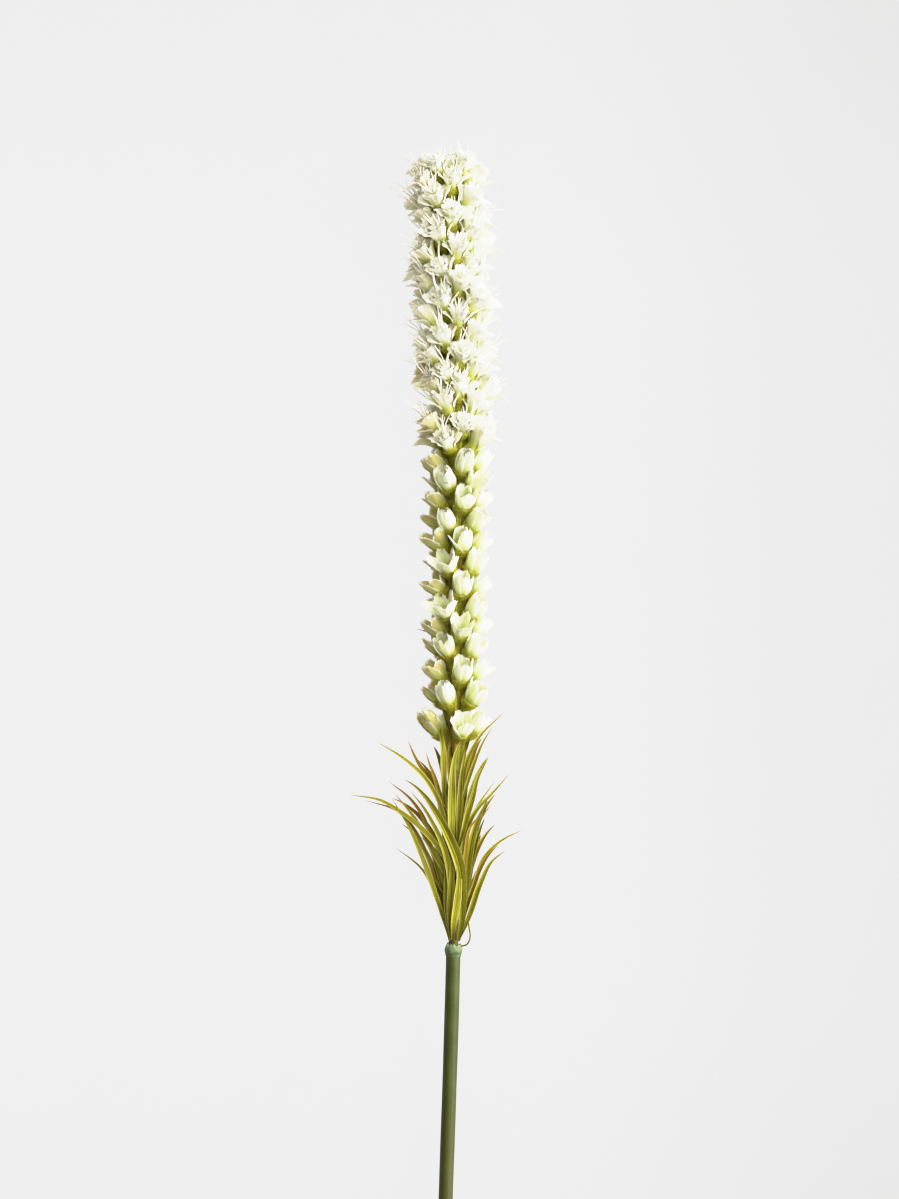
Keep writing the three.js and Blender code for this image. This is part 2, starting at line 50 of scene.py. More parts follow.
# The centre line: height, x, slope of x, z and slope of z.
CENTRE_LINE = (
    (-320, -8.6, 0.018, 3.55, 0.031),
    (-115, -3.5, 0.034, 9.9, 0.03),
    (0, 0, 0.022, 13.2, 0.022),
    (110, 1, 0.004, 15.2, 0.014),
    (240, 1.9, 0.002, 16.8, 0.012),
    (300, 0.9, -0.045, 17.6, 0.01),
    (398, -4.2, -0.05, 18.3, 0.004),
)
STEM_BOTTOM, STEM_TOP, STEM_RADIUS = -320, -6.3, 3.7
WIRE_TOP, WIRE_RADIUS, BORE_RADIUS = -14, 1.25, 1.5
STALK_TOP, STALK_RADII = 382, (2.4, 1.7)  # its radii at the collar and at its top
FUZZY_STALK = (90, 262)  # between these heights the stalk has all its fibres
COLLAR_SIDES = 36
COLLAR_RIM = 8  # the station from which the tears are deep
# The collar, up its outside and down its bore: height, radius and how much the torn rim shows.
COLLAR_PROFILE = (
    (-6.3, 3.78, 0), (-6.0, 3.95, 0), (-5.4, 4.05, 0), (-4.9, 4.1, 0), (-4.2, 4.3, 0.05), (-3.4, 4.5, 0.15),
    (-2.5, 4.5, 0.3), (-1.7, 4.3, 0.5), (-0.9, 3.9, 0.8), (-0.1, 3.5, 1), (-0.1, 3.2, 1), (-1.4, 3.0, 0.6),
    (-6.3, 3.0, 0),
)

# Florets in each whorl, and where the first one stands on even and on odd whorls, from straight up.
FLORETS = 4
FIRST_AZIMUTH = (16, -31)
HUB_TO_FOOT = (5.2, 4.5)  # outwards and up the stalk
FLORET_SWAY = (3.5, 4)  # degrees that chance may turn a floret round the stalk, and tilt it

BUD_RISE = 54  # degrees from straight out
BUD_MIDDLE = 11.5  # from a bud's foot
# Height of each whorl, and how far its four buds are open: 0 is shut, 1 wide. Where five numbers are given,
# they are for the near, right, far right, far left and left petal of a bud in front.
BUD_WHORLS = (
    (111.5, ((0.5, 0.95, 0.4, 0.5, 0.9), 0.6, 0.3, 0.1)),
    (127, ((0.05, 0.15, 0.1, 0.05, 0.25), 0.5, 0.4, 0.75)),
    (138.5, ((0.3, 0.4, 0.35, 0.4, 0.3), 0.6, 0.3, 0.7)),
    (151, ((0.3, 0.55, 0.3, 0.35, 0.5), 0.45, 0.2, 0.65)),
    (160.5, ((1.05, 0.75, 0.5, 0.5, 0.75), 0.5, 0.5, 0.6)),
    (170, ((0.75, 1.1, 0.85, 0.8, 1.15), 0.3, 0.4, 0.7)),
    (181.5, ((0.15, 0.4, 0.25, 0.4, 0.3), 0.45, 0.2, 0.85)),
    (192.5, ((0.8, 1.0, 0.6, 0.7, 1.1), 0.4, 0.5, 0.7)),
    (203.5, ((0.0, 0.1, 0.0, 0.15, 1.35), 0.6, 0.3, 0.9)),
    (214, ((0.0, 0.15, 0.1, 0.0, 0.05), 0.3, 0.5, 0.75)),
    (224.5, ((0.4, 0.6, 0.2, 0.25, 0.7), 0.5, 0.4, 0.8)),
    (233.5, ((0.0, 0.5, 0.15, 0.6, 0.15), 0.75, 0.4, 0.7)),
    (242.5, ((0.0, 0.0, 0.05, 0.05, 0.0), 0.35, 0.3, 0.5)),
)
LONG_BUD, LONG_BUD_STRETCH = (0, 3), 1.22  # the whorl and the place of a bud that is longer than the rest
LEFT_PLACE = 3  # the place in each whorl, at the left, whose buds get the fullest warm tint: painted shadow, away from the key light
LEAF_BESIDE_BUD = (-24, 23)  # from a bud's azimuth to its small leaf's, on even and on odd whorls

# How far below the hub a pedicel leaves the stalk: in the lowest whorls of buds, in the others, and in the
# open florets. Then the rim of the cup, for buds and for open florets.
LOW_WHORLS, LOW_PEDICEL, BUD_PEDICEL, OPEN_PEDICEL = 5, 10, 7, 5
BUD_CUP, OPEN_CUP = 3.95, 3.5

OPEN_RISE, OPEN_MIDDLE = 48, 11  # as for the buds
FRONT_TILT = 12  # how much further up an open floret on top of the spike points
OPEN_WHORLS = 17
OPEN_FIRST_HEIGHT, OPEN_PITCH = 252, 8.55
FRONT_KINDS, ROUND_KINDS = 7, 7  # shapes of open florets for the front, and shapes for the back
TABLE_SIDE = -0.6  # florets that point further down than this have the shapes for the back
OPEN_SIZES = (1.32, 1.02)  # at the sides of the spike and on top
OPEN_CALYX = 0.88  # beside a bud's
TIP_WHORLS, TIP_RISE, TIP_SHRINK = 2, 6, 0.06  # how the last whorls rise and shrink, one after the other
THREAD_LENGTH, TOP_THREAD_LENGTH = 15.5, 12  # the second is for the last floret, on the stalk's end
SIDE_THREAD, LEFT_THREAD, TIP_THREAD = 3, 3, -2.5  # added at both sides, at the left and near the tip
THROAT = 7  # from a floret's foot to where its threads start
TOP_SIZE, TOP_DEPTH = 1.05, 2.4  # of the last floret; its foot is this far below the stalk's end

# Leaves at the back: height of the whorl, then azimuth, rise, reach and width of each leaf.
BACK_LEAVES = (
    (2.2, ((128, 52, 17, 3), (-150, 50, 15, 3), (-112, 57, 29, 3), (100, 47, 22, 3), (176, 44, 14, 3.2))),
    (13.4, ((112, 46, 22, 3), (168, 52, 12, 3), (-130, 46, 20, 3), (-96, 40, 17, 2.8),
     (88, 50, 15, 2.8))),
    (24.8, ((-118, 47, 36, 3), (104, 50, 21, 3), (145, 48, 14, 3), (-170, 54, 12.5, 3),
     (-148, 50, 20, 3))),
    (47.4, ((122, 46, 20, 3), (-122, 44, 22, 3), (176, 44, 11, 3), (-150, 46, 16, 3), (148, 50, 17, 3))),
    (69, ((108, 34, 14, 3), (-158, 32, 9.5, 2.8), (150, 34, 12, 3), (-112, 30, 12, 2.8))),
)
# Leaves in front, whorl by whorl: width, tone from 0 green to 1 brown, and turn to the right. Then the
# middle line from foot to tip: x, height and lift from the centre line.
FRONT_LEAVES = (
    (
        (2.8, 0.35, 15, ((-2, 2, 1), (-4.3, 10.6, 2), (-9.3, 26, 3), (-15.9, 44.4, 4), (-23, 60.6, 4),
         (-31, 73.6, 3))),
        (1.6, 0.1, 0, ((-2, 2, 0), (-6.5, 16, 0), (-9.6, 26, 0), (-15.9, 37.8, 0), (-23.7, 44.4, -1),
         (-29.5, 48.3, -2))),
        (5.3, 0.15, -14, ((2.5, 2, 2.5), (4.4, 14, 5.5), (4.5, 26, 7.5), (3.6, 39, 9), (-0.9, 52, 9.5),
         (-7, 64, 9), (-14.4, 75, 8), (-19.8, 80.3, 7.5), (-24.3, 83, 7))),
        (3, 0.3, -10, ((2.4, 1.7, 1), (5.2, 7.8, 2), (8.5, 16.1, 3), (13.5, 31, 4), (20, 42.8, 4),
         (25.8, 46.9, 3))),
        (2.6, 0.05, 15, ((2.5, 3, -1), (5.2, 15, -1), (10.2, 29, -2), (15.8, 43.9, -3), (24.5, 52, -4),
         (34.6, 56.7, -5))),
        (3.9, 0.2, -20, ((-1.4, 2.2, 2.5), (-1.6, 13, 5), (-1.2, 27, 6.5), (-0.6, 38, 7),
         (-0.8, 49.4, 7))),
        (4.2, 0, 25, ((-0.6, 2.2, 2.5), (0.4, 13, 6.5), (2, 24.4, 8), (2.8, 35.6, 8.5), (1.6, 47, 8))),
        (2.8, 0.4, -25, ((-1.8, 3, 2), (-3.2, 16, 4), (-3.8, 30, 5), (-4.4, 43, 5.5))),
    ),
    (
        (4.2, 0, -15, ((3, 14, 1.5), (5.8, 24.4, 4), (6.9, 35.6, 6), (8, 46, 7), (11.3, 60.6, 7),
         (17.4, 74, 6))),
        (2.3, 0.8, 10, ((2, 15, 2.5), (4.8, 32, 6), (6, 46, 7.5), (9.1, 60.6, 7.5), (13, 64.6, 7),
         (16.6, 67.2, 7))),
        (3, 0.2, 15, ((-1.6, 14, 2.5), (-1.8, 24, 5), (-2.2, 36, 6.5), (-4.6, 48, 7.5), (-9.8, 60, 7),
         (-15, 69, 6), (-21.5, 77, 5))),
        (2.6, 0.75, -15, ((2.4, 16, 0), (5.2, 34, 0), (7, 48, -1), (12, 60, -2), (19, 70, -3))),
    ),
    (
        (2.8, 0.6, 15, ((-2, 25, 1.5), (-4.2, 35.6, 2.5), (-9.3, 45, 3), (-13.7, 53.3, 3), (-20, 64, 2),
         (-29.5, 75.6, 1))),
        (1.9, 1, 0, ((-2, 24.8, 0), (-7.6, 30, 1), (-12.6, 43.3, 1), (-18.7, 56, 0), (-27, 66, -1),
         (-44.3, 72, -2))),
        (2.8, 0.35, 25, ((-2, 27, 2.5), (-3.6, 42, 4), (-8.5, 50, 5), (-15.9, 58.3, 5), (-25, 65.6, 4),
         (-36, 72.2, 3), (-52, 75, 2))),
        (2.5, 0.3, 0, ((2, 26, 2), (4.8, 44, 4), (6.9, 58.9, 5), (12, 68.4, 5), (19, 75.6, 4),
         (28, 85.8, 3))),
        (2.1, 0.1, 20, ((1.8, 28, 1), (4, 48, 2), (7.6, 61, 2), (13, 71, 1), (20.8, 81.7, 0))),
    ),
    (
        (2, 0.95, -5, ((-2, 44, 1), (-7.4, 49.6, 1.5), (-11.5, 55.5, 2), (-15.4, 64.4, 1),
         (-22, 73.3, 0), (-32.3, 81.4, -1))),
        (3, 0.25, -12, ((1.6, 46, 2.5), (4.6, 56, 6), (6.9, 65, 7), (9.6, 73.9, 7), (12.2, 84, 6.5),
         (17.1, 93.1, 5))),
        (4.2, 0.1, 12, ((0, 48, 2.5), (-0.9, 60, 6), (-0.8, 73, 7.5), (-0.4, 85, 8), (0.8, 95, 8),
         (4.1, 103.5, 8))),
        (3, 0.15, -20, ((1.4, 47, 2), (2.6, 60, 4.5), (3.2, 72, 6), (4, 85, 6.5), (6.2, 97, 6))),
        (2.6, 0.3, 20, ((-1.8, 47.4, 2), (-4, 60, 3.5), (-7.4, 72, 4.5), (-14.5, 84, 5), (-24.3, 93, 5),
         (-38, 101.6, 4))),
        (2.2, 0.3, -10, ((2, 48, 0), (3.6, 62, 1), (4.4, 76, 1.5), (6.6, 92, 1.5), (13, 104, 1),
         (25.6, 116.5, 0))),
    ),
    (
        (2.5, 0.95, 0, ((-2, 62, 1), (-7.2, 73.9, 2), (-11.4, 82.5, 2.5), (-17.4, 90.6, 2),
         (-22.9, 102.2, 1))),
        (2.2, 0.9, 10, ((-2, 66, 2), (-6.4, 74.5, 4), (-9.4, 84, 5), (-12, 90.6, 5), (-13.7, 96.4, 4.5))),
        (3.4, 0.05, 20, ((-4.6, 70.5, 4.5), (-4.9, 78, 5.5), (-4.9, 88.3, 6), (-5.4, 100, 6),
         (-6.8, 108, 6.5), (-9.3, 115.3, 7.5))),
        (1.9, 0, -12, ((1.8, 66, 1), (4.8, 74, 2), (8, 84, 2), (10.8, 92, 1.5), (14.6, 101, 1),
         (19.5, 109, 0))),
        (1.8, 0.15, 0, ((1.6, 68, 2), (3.4, 80, 4), (4.6, 90, 4.5), (6, 99, 4))),
        (1.8, 0.7, 0, ((0.2, 69, 2.5), (-2, 84, 4.5), (-2.4, 96, 5), (-1, 107, 5))),
    ),
)
# Bracts: height of the foot, azimuth, rise, reach and width.
BRACTS = (
    (224, -88, 18, 19.6, 1.6), (143, -88, 15, 20.8, 1.6), (97, -26, 22, 10.5, 1.8), (180, 20, 13, 9.5, 1.4),
    (160, 62, 13, 14.5, 1.4), (205, -60, 12, 13, 1.3), (118, 40, 14, 12, 1.4), (128, -100, 14, 17.5, 1.4),
    (213, 95, 15, 17, 1.4), (190, -150, 13, 14, 1.4), (166, 150, 13, 14, 1.4), (236, 170, 13, 13, 1.3),
)
# Wiry stems above the collar: radius, then x, height and lift from the centre line.
WIRY_STEMS = (
    (0.42, ((3.4, -1, 0.5), (6.4, -0.3, 1.2), (8, 2, 1.6), (8.4, 4.8, 1.4), (7.9, 8, 1),
     (7.2, 12.5, 0.4))),
    (0.45, ((-1.6, 25, 0.6), (-5, 26, 1.4), (-7.2, 28.6, 1.2), (-8.6, 32.5, 0.6))),
    (0.4, ((-1.7, 13, 0.6), (-4.2, 13.3, 1.3), (-5.8, 15, 0.8))),
)
LEAF_ROOT = 3.5  # from the centre line
LEAF_LEAN = 0.16  # outwards for each millimetre up, before a leaf arches away
LEAF_TWIST = 62  # of a leaf at the side of the stalk, on its own length
STRAY_TWIST = 16  # the most that chance adds at a leaf's tip
LEAF_ARCH = 0.76  # how far a leaf has turned level at its tip: 1 is quite level
LEAF_FULLNESS = 1.05  # the widest part of a leaf beside the CAD leaf's width
LEAF_WIDTHS = (0.34, 0.52, 0.74, 0.92, 1.0, 0.98, 0.88, 0.73, 0.54, 0.32, 0.04)  # from foot to tip

BUD_WIDTHS = (1.6, 2.9, 3.8, 4.3, 4.4, 4.2, 3.8, 3.2)  # half a bud petal's, from foot to rim
FAN_WIDTHS = (0.32, 0.4, 0.62, 0.88, 1.0, 0.9)  # an open floret's fan beside its breadth, from foot to rim
WIDE_RUFFLES, FINE_RUFFLES = 4, 11  # round a floret
RIM_THINNESS = 0.45  # a petal's thickness at the rim beside its middle
BUD_CLOTH_THICKNESS, FAN_CLOTH_THICKNESS = 0.3, 0.24
BUD_CELLS = (9, 12)  # of a petal's mesh, along and across

FIBRE_STRAY = 0.3  # the most that chance adds to a fibre's direction, each way
FIBRE_LENGTHS = (0.55, 1.15)  # the shortest and the longest beside the usual one

TABLE_SOFTNESS = 1.2  # how gradually cloth and leaves flatten on the table
TABLE_REACH = 40.0  # metres each way

# Each light: energy, spread, direction towards it and colour.
KEY_LIGHT = (7.5, 45, (0.88, 0.1, 0.46), (1.0, 0.985, 0.955))
FRONT_FILL = (2.75, 60, (0.3, 0.35, 0.9), (1.0, 0.955, 0.85))
ROOM_LIGHT, ROOM_COLOUR = 0.28, (1.0, 0.945, 0.82, 1)
# How bright each level of light is shown.
HIGHLIGHTS = ((0.25, 0.25), (0.5, 0.5), (0.7, 0.695), (0.9, 0.83), (1.2, 0.895), (1.7, 0.94), (2.6, 0.98))

CAMERA_SPOT = (0.00559, 0.13333, 1.433)  # metres, straight above the middle of the flower
LENS, SENSOR = 85, 36
CAMERA_RANGE = 100  # metres

SCRAMBLE = (127.1, 311.7, 43758.5453)  # makes keys that are close give numbers that aren't


def jitter(key):
    """A number from -1 to 1 that is always the same for the same key."""
    wave = math.sin(key * SCRAMBLE[0] + SCRAMBLE[1]) * SCRAMBLE[2]
    return 2 * (wave - math.floor(wave)) - 1


def unit(v):
    """Vectors made one long."""
    return v / np.linalg.norm(v, axis=-1, keepdims=True)


def mix(a, b, t):
    """From a to b as t goes from 0 to 1."""
    return a + (b - a) * t


def spread_over(t, values):
    """Values at the shares t of a length that evenly spaced values are given for."""
    return np.interp(t, np.linspace(0, 1, len(values)), values)


def line_at(height, value, slope):
    """One coordinate of the centre line, as a cubic between its stations."""
    passed = sum(station[0] <= height for station in CENTRE_LINE)
    i = min(max(passed - 1, 0), len(CENTRE_LINE) - 2)
    a, b = CENTRE_LINE[i], CENTRE_LINE[i + 1]
    span = b[0] - a[0]
    t = (height - a[0]) / span
    s = 1 - t
    ends = s * s * (1 + 2 * t) * a[value] + t * t * (3 - 2 * t) * b[value]
    return ends + span * t * s * (s * a[slope] - t * b[slope])


def centre(height):
    """A point of the centre line."""
    return np.array([line_at(height, 1, 2), height, line_at(height, 3, 4)])


def axes_at(height):
    """The directions up the stalk, to its right and away from the table."""
    up = unit(centre(height + 1) - centre(height - 1))
    right = unit(np.array([1.0, 0, 0]) - up * up[0])
    return up, right, np.cross(right, up)


def beside_centre(spots):
    """Points from x, height and lift above the centre line."""
    return np.array([centre(y) * (0, 1, 1) + (x, 0, lift) for x, y, lift in spots])


def outward(height, azimuth):
    """The outward and the sideways direction at an azimuth in degrees."""
    _, right, front = axes_at(height)
    s, c = math.sin(math.radians(azimuth)), math.cos(math.radians(azimuth))
    return right * s + front * c, right * c - front * s


# Node trees

class Wire:
    """An output socket. Arithmetic on it adds Math nodes."""

    def __init__(self, tree, socket):
        self.tree, self.socket = tree, socket

    def other(self, name):
        """Another output of the same node."""
        return Wire(self.tree, self.socket.node.outputs[name])

    def math(self, operation, *values, clamp=False):
        settings = {"operation": operation, "use_clamp": clamp}
        return self.tree.add("ShaderNodeMath", settings, dict(enumerate(values)))

    def __add__(self, other):
        return self.math("ADD", self, other)

    def __sub__(self, other):
        return self.math("SUBTRACT", self, other)

    def __rsub__(self, other):
        return self.math("SUBTRACT", other, self)

    def __mul__(self, other):
        return self.math("MULTIPLY", self, other)

    __radd__ = __add__
    __rmul__ = __mul__

    def size(self):
        """The distance from 0."""
        return self.math("ABSOLUTE", self)

    def clamped(self):
        return self.math("ADD", self, 0, clamp=True)

    def step(self, low, high):
        """0 below low, 1 above high and smooth between."""
        ends = {"Value": self, "From Min": low, "From Max": high}
        return self.tree.add("ShaderNodeMapRange", {"interpolation_type": "SMOOTHSTEP"}, ends)


class Tree:
    """Makes nodes in one tree."""

    def __init__(self, tree):
        self.tree = tree

    def add(self, kind, settings=None, sockets=None, out=0):
        """A node: its type, its settings, then values or wires for its sockets."""
        node = self.tree.nodes.new(kind)
        for name, value in (settings or {}).items():
            setattr(node, name, value)
        for key, value in (sockets or {}).items():
            if isinstance(value, Wire):
                self.tree.links.new(value.socket, node.inputs[key])
            else:
                node.inputs[key].default_value = value
        return Wire(self, node.outputs[out]) if len(node.outputs) else None

    def blend(self, factor, under, over):
        """Two colours mixed by a factor."""
        return self.add("ShaderNodeMix", {"data_type": "RGBA"}, {0: factor, 6: under, 7: over}, out=2)

    def coats(self, code, *coats):
        """A colour under others, each with its own factor."""
        tint = colour(code)
        for factor, code in coats:
            tint = self.blend(factor, tint, colour(code))
        return tint

    def marks(self, *names):
        """Named numbers of the mesh."""
        return [self.add("ShaderNodeAttribute", {"attribute_name": name}, out="Fac") for name in names]

    def place(self):
        """Where a point of the piece is, in metres."""
        return self.add("ShaderNodeTexCoord", out="Object")

    def part(self, axis, vector):
        """One coordinate of a vector."""
        return self.add("ShaderNodeSeparateXYZ", sockets={0: vector}, out=axis)

    def noise(self, at, scale, detail=2.0, rough=0.5):
        """Cloudy noise from 0 to 1."""
        sockets = {"Vector": at, "Scale": scale, "Detail": detail, "Roughness": rough}
        return self.add("ShaderNodeTexNoise", sockets=sockets, out="Fac")

    def streaks(self, across, along, detail, rough=0.5):
        """Noise drawn out along the stem, as fine as the two scales say."""
        at = self.add("ShaderNodeMapping", sockets={0: self.place(), "Scale": (across, along, across)})
        return self.noise(at, 1.0, detail, rough)

    def vector(self, x, y, z):
        return self.add("ShaderNodeCombineXYZ", sockets={0: x, 1: y, 2: z})

    def vector_math(self, operation, sockets):
        return self.add("ShaderNodeVectorMath", {"operation": operation}, sockets)

    def surface(self, tint, roughness, relief, depth, strength):
        """The sockets of a shader that vary over a surface. The depth of its relief is in metres."""
        sockets = {"Height": relief, "Distance": depth, "Strength": strength}
        bump = self.add("ShaderNodeBump", sockets=sockets)
        return {"Base Color": tint, "Roughness": roughness, "Normal": bump}


def colour(code):
    """A colour code such as #A0B0C0 as linear red, green, blue and alpha."""
    levels = [int(code[i : i + 2], 16) / 255 for i in (1, 3, 5)]
    return [x / 12.92 if x <= 0.04045 else ((x + 0.055) / 1.055) ** 2.4 for x in levels] + [1]


def finish_of(name, build, **constants):
    """A material whose shader takes constants as they are and the rest from build(tree)."""
    material = bpy.data.materials.new(name)
    material.use_nodes = True
    tree = Tree(material.node_tree)
    material.node_tree.nodes.clear()
    sockets = {key.replace("_", " "): value for key, value in constants.items()}
    sockets.update(build(tree))
    shader = tree.add("ShaderNodeBsdfPrincipled", sockets=sockets)
    tree.add("ShaderNodeOutputMaterial", sockets={"Surface": shader})
    return material


# Finishes. Along runs from 0 at the foot of a petal, leaf or thread to 1 at its tip, and across from -1 to 1
# between its edges. Tone is its own number from 0 to 1. Noise of scale 1000 has lumps of about a millimetre.

LIGHT_DEPTH = 0.0009  # metres that light spreads in the petals' cloth


def petal_cloth(name, body, rim, base, vein, warm):
    """Dyed cloth: pale, with a greener foot, fine veins, a coloured rim and a warm tint that is partly
    random tone and partly painted shadow.
    """

    def build(tree):
        along, across, tone, shade = tree.marks("along", "across", "tone", "shade")
        weave = tree.noise(tree.place(), 2600.0, 1.0)
        streak = tree.noise(tree.vector(across * 5.5, along * 0.9, tone * 31 + shade * 17), 1.6, 3.0, 0.6)
        fine = tree.noise(tree.vector(across * 19, along * 1.6, tone * 57), 1.3)
        veins = streak.step(0.5, 0.72) * 0.75 + fine.step(0.52, 0.8) * 0.4
        middle = (1 - across.size().step(0.02, 0.3)) * along.step(0.9, 0.2) * 0.6
        edge = across.size().step(0.72, 1.0) * along.step(0.15, 0.55) + along.step(0.86, 1.0)
        tint = tree.coats(
            body,
            # Painted shadow: the warm colour comes in where the florets' mark says, most at the left of the
            # spike, away from the key light.
            (shade.step(0.3, 1.0) * 0.75, warm),
            ((veins * (1 - along.step(0.75, 1.0))).clamped(), vein),
            (middle.clamped(), vein),
            ((edge * (0.55 + 0.45 * fine)).clamped(), rim),
            (along.step(0.68, 0.1), base),
        )
        return tree.surface(tint, 0.62 + 0.2 * weave, fine * 0.7 + weave * 0.35, 0.00025, 0.55)

    return finish_of(
        name, build, Subsurface_Weight=1.0, Subsurface_Radius=(LIGHT_DEPTH,) * 3, Subsurface_Scale=1.0,
        Specular_IOR_Level=0.25, Sheen_Weight=0.12,
    )


def hairy_green(tree):
    """Moulded calyces with brushed fibres: dark at the foot, yellow at the rim, tan at the fibres' ends."""
    along, tip, tone = tree.marks("along", "tip", "tone")
    patches = tree.noise(tree.place(), 420.0, 3.0)
    tint = tree.coats(
        "#747A12",
        (along.step(0.3, 0.95), "#8E9020"),
        (patches.step(0.45, 0.75) * 0.6, "#5A5008"),
        (tip.step(0.05, 0.75), "#C6BE50"),
        (tip.step(0.6, 1.0) * tone.step(0.4, 0.8), "#B4802F"),
    )
    fibres = tree.noise(tree.vector(tone * 40, along * 60, patches * 9), 3.0)
    return tree.surface(tint, 0.6 + 0.25 * patches, fibres, 0.0002, 0.5)


def stalk_olive(tree):
    """The moulded stalk, paler at the ends of its fibres."""
    [tip] = tree.marks("tip")
    streaks = tree.streaks(600, 30, 3.0)
    tint = tree.coats("#2E2806", (streaks.step(0.35, 0.7), "#4E4812"), (tip.step(0.1, 0.9), "#A39C3C"))
    return tree.surface(tint, 0.62 + 0.2 * streaks, streaks, 0.0003, 0.6)


def leaf_green(tree):
    """Moulded leaves: olive, with yellow green edges and ribs, and brown tips."""
    along, across, tone = tree.marks("along", "across", "tone")
    ribs = tree.noise(tree.vector(across * 4.5, along * 1.6, tone * 43), 1.6, 3.0, 0.6)
    patches = tree.noise(tree.place(), 55.0, 3.0)
    brown = along.step(0.05, 0.7) * tone.step(0.2, 0.95)
    tint = tree.coats(
        "#484202",
        (ribs.step(0.38, 0.62), "#98961E"),
        (across.size().step(0.3, 0.0) * 0.55, "#423D02"),
        (across.size().step(0.66, 1.0) * 0.85, "#BAB86C"),
        (patches.step(0.5, 0.78) * along.step(0.1, 0.5) * 0.5, "#6E5A0E"),
        ((brown * (0.35 + patches)).clamped() * 0.8, "#7C5612"),
        (along.step(0.88, 1.0) * 0.6, "#80581A"),
        (along.step(0.3, 0.0) * 0.8, "#48440A"),
    )
    return tree.surface(tint, 0.42 + 0.25 * patches, ribs, 0.0003, 0.7)


def bract_brown(tree):
    """Dry bracts, ribbed along their length and greener at the foot."""
    along, across, tone = tree.marks("along", "across", "tone")
    ribs = tree.noise(tree.vector(across * 3, along * 2, tone * 31), 1.8, 3.0)
    tint = tree.coats("#6A4A1C", (ribs.step(0.3, 0.7), "#8E6A2C"), (along.step(0.55, 0.1), "#6E6A1C"))
    return tree.surface(tint, 0.5 + 0.25 * ribs, ribs, 0.0002, 0.6)


def stem_coating(tree):
    """Plastic drawn over the wire: muted green with faint long streaks, browner towards the cut end."""
    at = tree.place()
    streaks, grain, cloud = tree.streaks(700, 12, 4.0, 0.6), tree.noise(at, 900.0), tree.noise(at, 60.0)
    tint = tree.coats(
        "#2C340C",
        (streaks.step(0.3, 0.7), "#3B4415"),
        (tree.part("Y", at).step(-0.06, -0.2) * 0.7, "#403D1A"),
        (cloud.step(0.45, 0.75) * 0.4, "#485028"),
    )
    return tree.surface(tint, 0.4 + 0.22 * streaks, streaks + 0.3 * grain, 0.0002, 0.5)


def collar_plastic(tree):
    """Bluish green plastic, paler where its rim is torn."""
    [torn], patches = tree.marks("torn"), tree.noise(tree.place(), 420.0, 4.0, 0.6)
    worn = (torn * (0.2 + patches)).clamped() * 0.8
    tint = tree.coats("#30401F", (patches.step(0.3, 0.7), "#4A6034"), (worn, "#8CA076"))
    return tree.surface(tint, 0.4 + 0.3 * patches, patches, 0.0004, 0.7)


def drawn_steel(tree):
    """Steel wire with fine lines along it."""
    lines = tree.streaks(3000, 60, 2.0)
    tint = tree.coats("#7D8082", (lines, "#A2A4A5"))
    return tree.surface(tint, 0.28 + 0.2 * lines, lines, 0.0001, 0.4)


def thread_white(tree):
    """Moulded threads, greener at the foot."""
    along, tone = tree.marks("along", "tone")
    fibre = tree.noise(tree.vector(tone * 70, along * 22, tone * 9), 1.0)
    tint = tree.coats("#E2E4BC", (along.step(0.25, 0.8), "#FBF8EE"))
    return tree.surface(tint, 0.55 + 0.25 * fibre, fibre, 0.0001, 0.4)


def glowing_table_finish(tree):
    """A grained table top that glows, a painted light that keeps it evenly bright and its shadows faint; the
    glowing is painted gently darker towards the right and the two ends of the view, as if light fell off
    there.
    """
    at = tree.place()
    grain = tree.noise(at, 30.0)
    across, along = tree.part("X", at), tree.part("Y", at)
    painted_falloff = across.step(0.04, 0.24) * 0.6 + (along - 0.12).size().step(0.14, 0.34) * 0.3
    tint = tree.coats("#2C2C2C", (grain * 0.3, "#343434"))
    # Painted light: the table glows, and the painted falloff darkens it towards the right and the ends of
    # the view.
    glow = tree.coats("#F4F4F4", ((painted_falloff + 0.1 * grain).clamped(), "#DAD9D9"))
    return {"Base Color": tint, "Emission Color": glow}


# The warm colours below stand partly for painted shadow on petals at the left of the spike.
BUD_CLOTH = petal_cloth(
    "bud cloth", body="#E8EEC6", rim="#F8F9E6", base="#A2AE38", vein="#BECE78", warm="#9C862C"
)
FLORET_CLOTH = petal_cloth(
    "floret cloth", body="#F9FAE3", rim="#F8F8E6", base="#AAB24E", vein="#E2EABC", warm="#C8AB62"
)
CALYX_GREEN = finish_of("calyx green", hairy_green, Specular_IOR_Level=0.3)
THREAD_WHITE = finish_of("thread white", thread_white, Specular_IOR_Level=0.3)
STALK_OLIVE = finish_of("stalk olive", stalk_olive, Specular_IOR_Level=0.3)
LEAF_GREEN = finish_of("leaf green", leaf_green, Specular_IOR_Level=0.12)
BRACT_BROWN = finish_of("bract brown", bract_brown, Specular_IOR_Level=0.3)
STEM_GREEN = finish_of("stem green", stem_coating, Specular_IOR_Level=0.2)
COLLAR_GREEN = finish_of("collar green", collar_plastic, Specular_IOR_Level=0.4)
WIRE_STEEL = finish_of("drawn steel", drawn_steel, Metallic=1.0)
# The table's emission is painted light: it keeps the table evenly bright and the flower's shadow on it
# faint.
GLOWING_TABLE = finish_of(
    "pale table", glowing_table_finish, Roughness=0.9, Specular_IOR_Level=0.0, Emission_Strength=1.13
)


# Meshes

def mesh_of(name, points, faces=(), edges=(), **marks):
    """A mesh with named numbers or vectors for its points."""
    mesh = bpy.data.meshes.new(name)
    mesh.from_pydata([tuple(p) for p in points], list(edges), list(faces))
    for label, values in marks.items():
        values = np.asarray(values)
        kind = "FLOAT_VECTOR" if values.ndim == 2 else "INT" if values.dtype.kind == "i" else "FLOAT"
        data = mesh.attributes.new(label, kind, "POINT").data
        data.foreach_set("vector" if values.ndim == 2 else "value", values.ravel())
    return mesh


def in_scene(name, data):
    """A new object in the scene."""
    made = bpy.data.objects.new(name, data)
    bpy.context.scene.collection.objects.link(made)
    return made


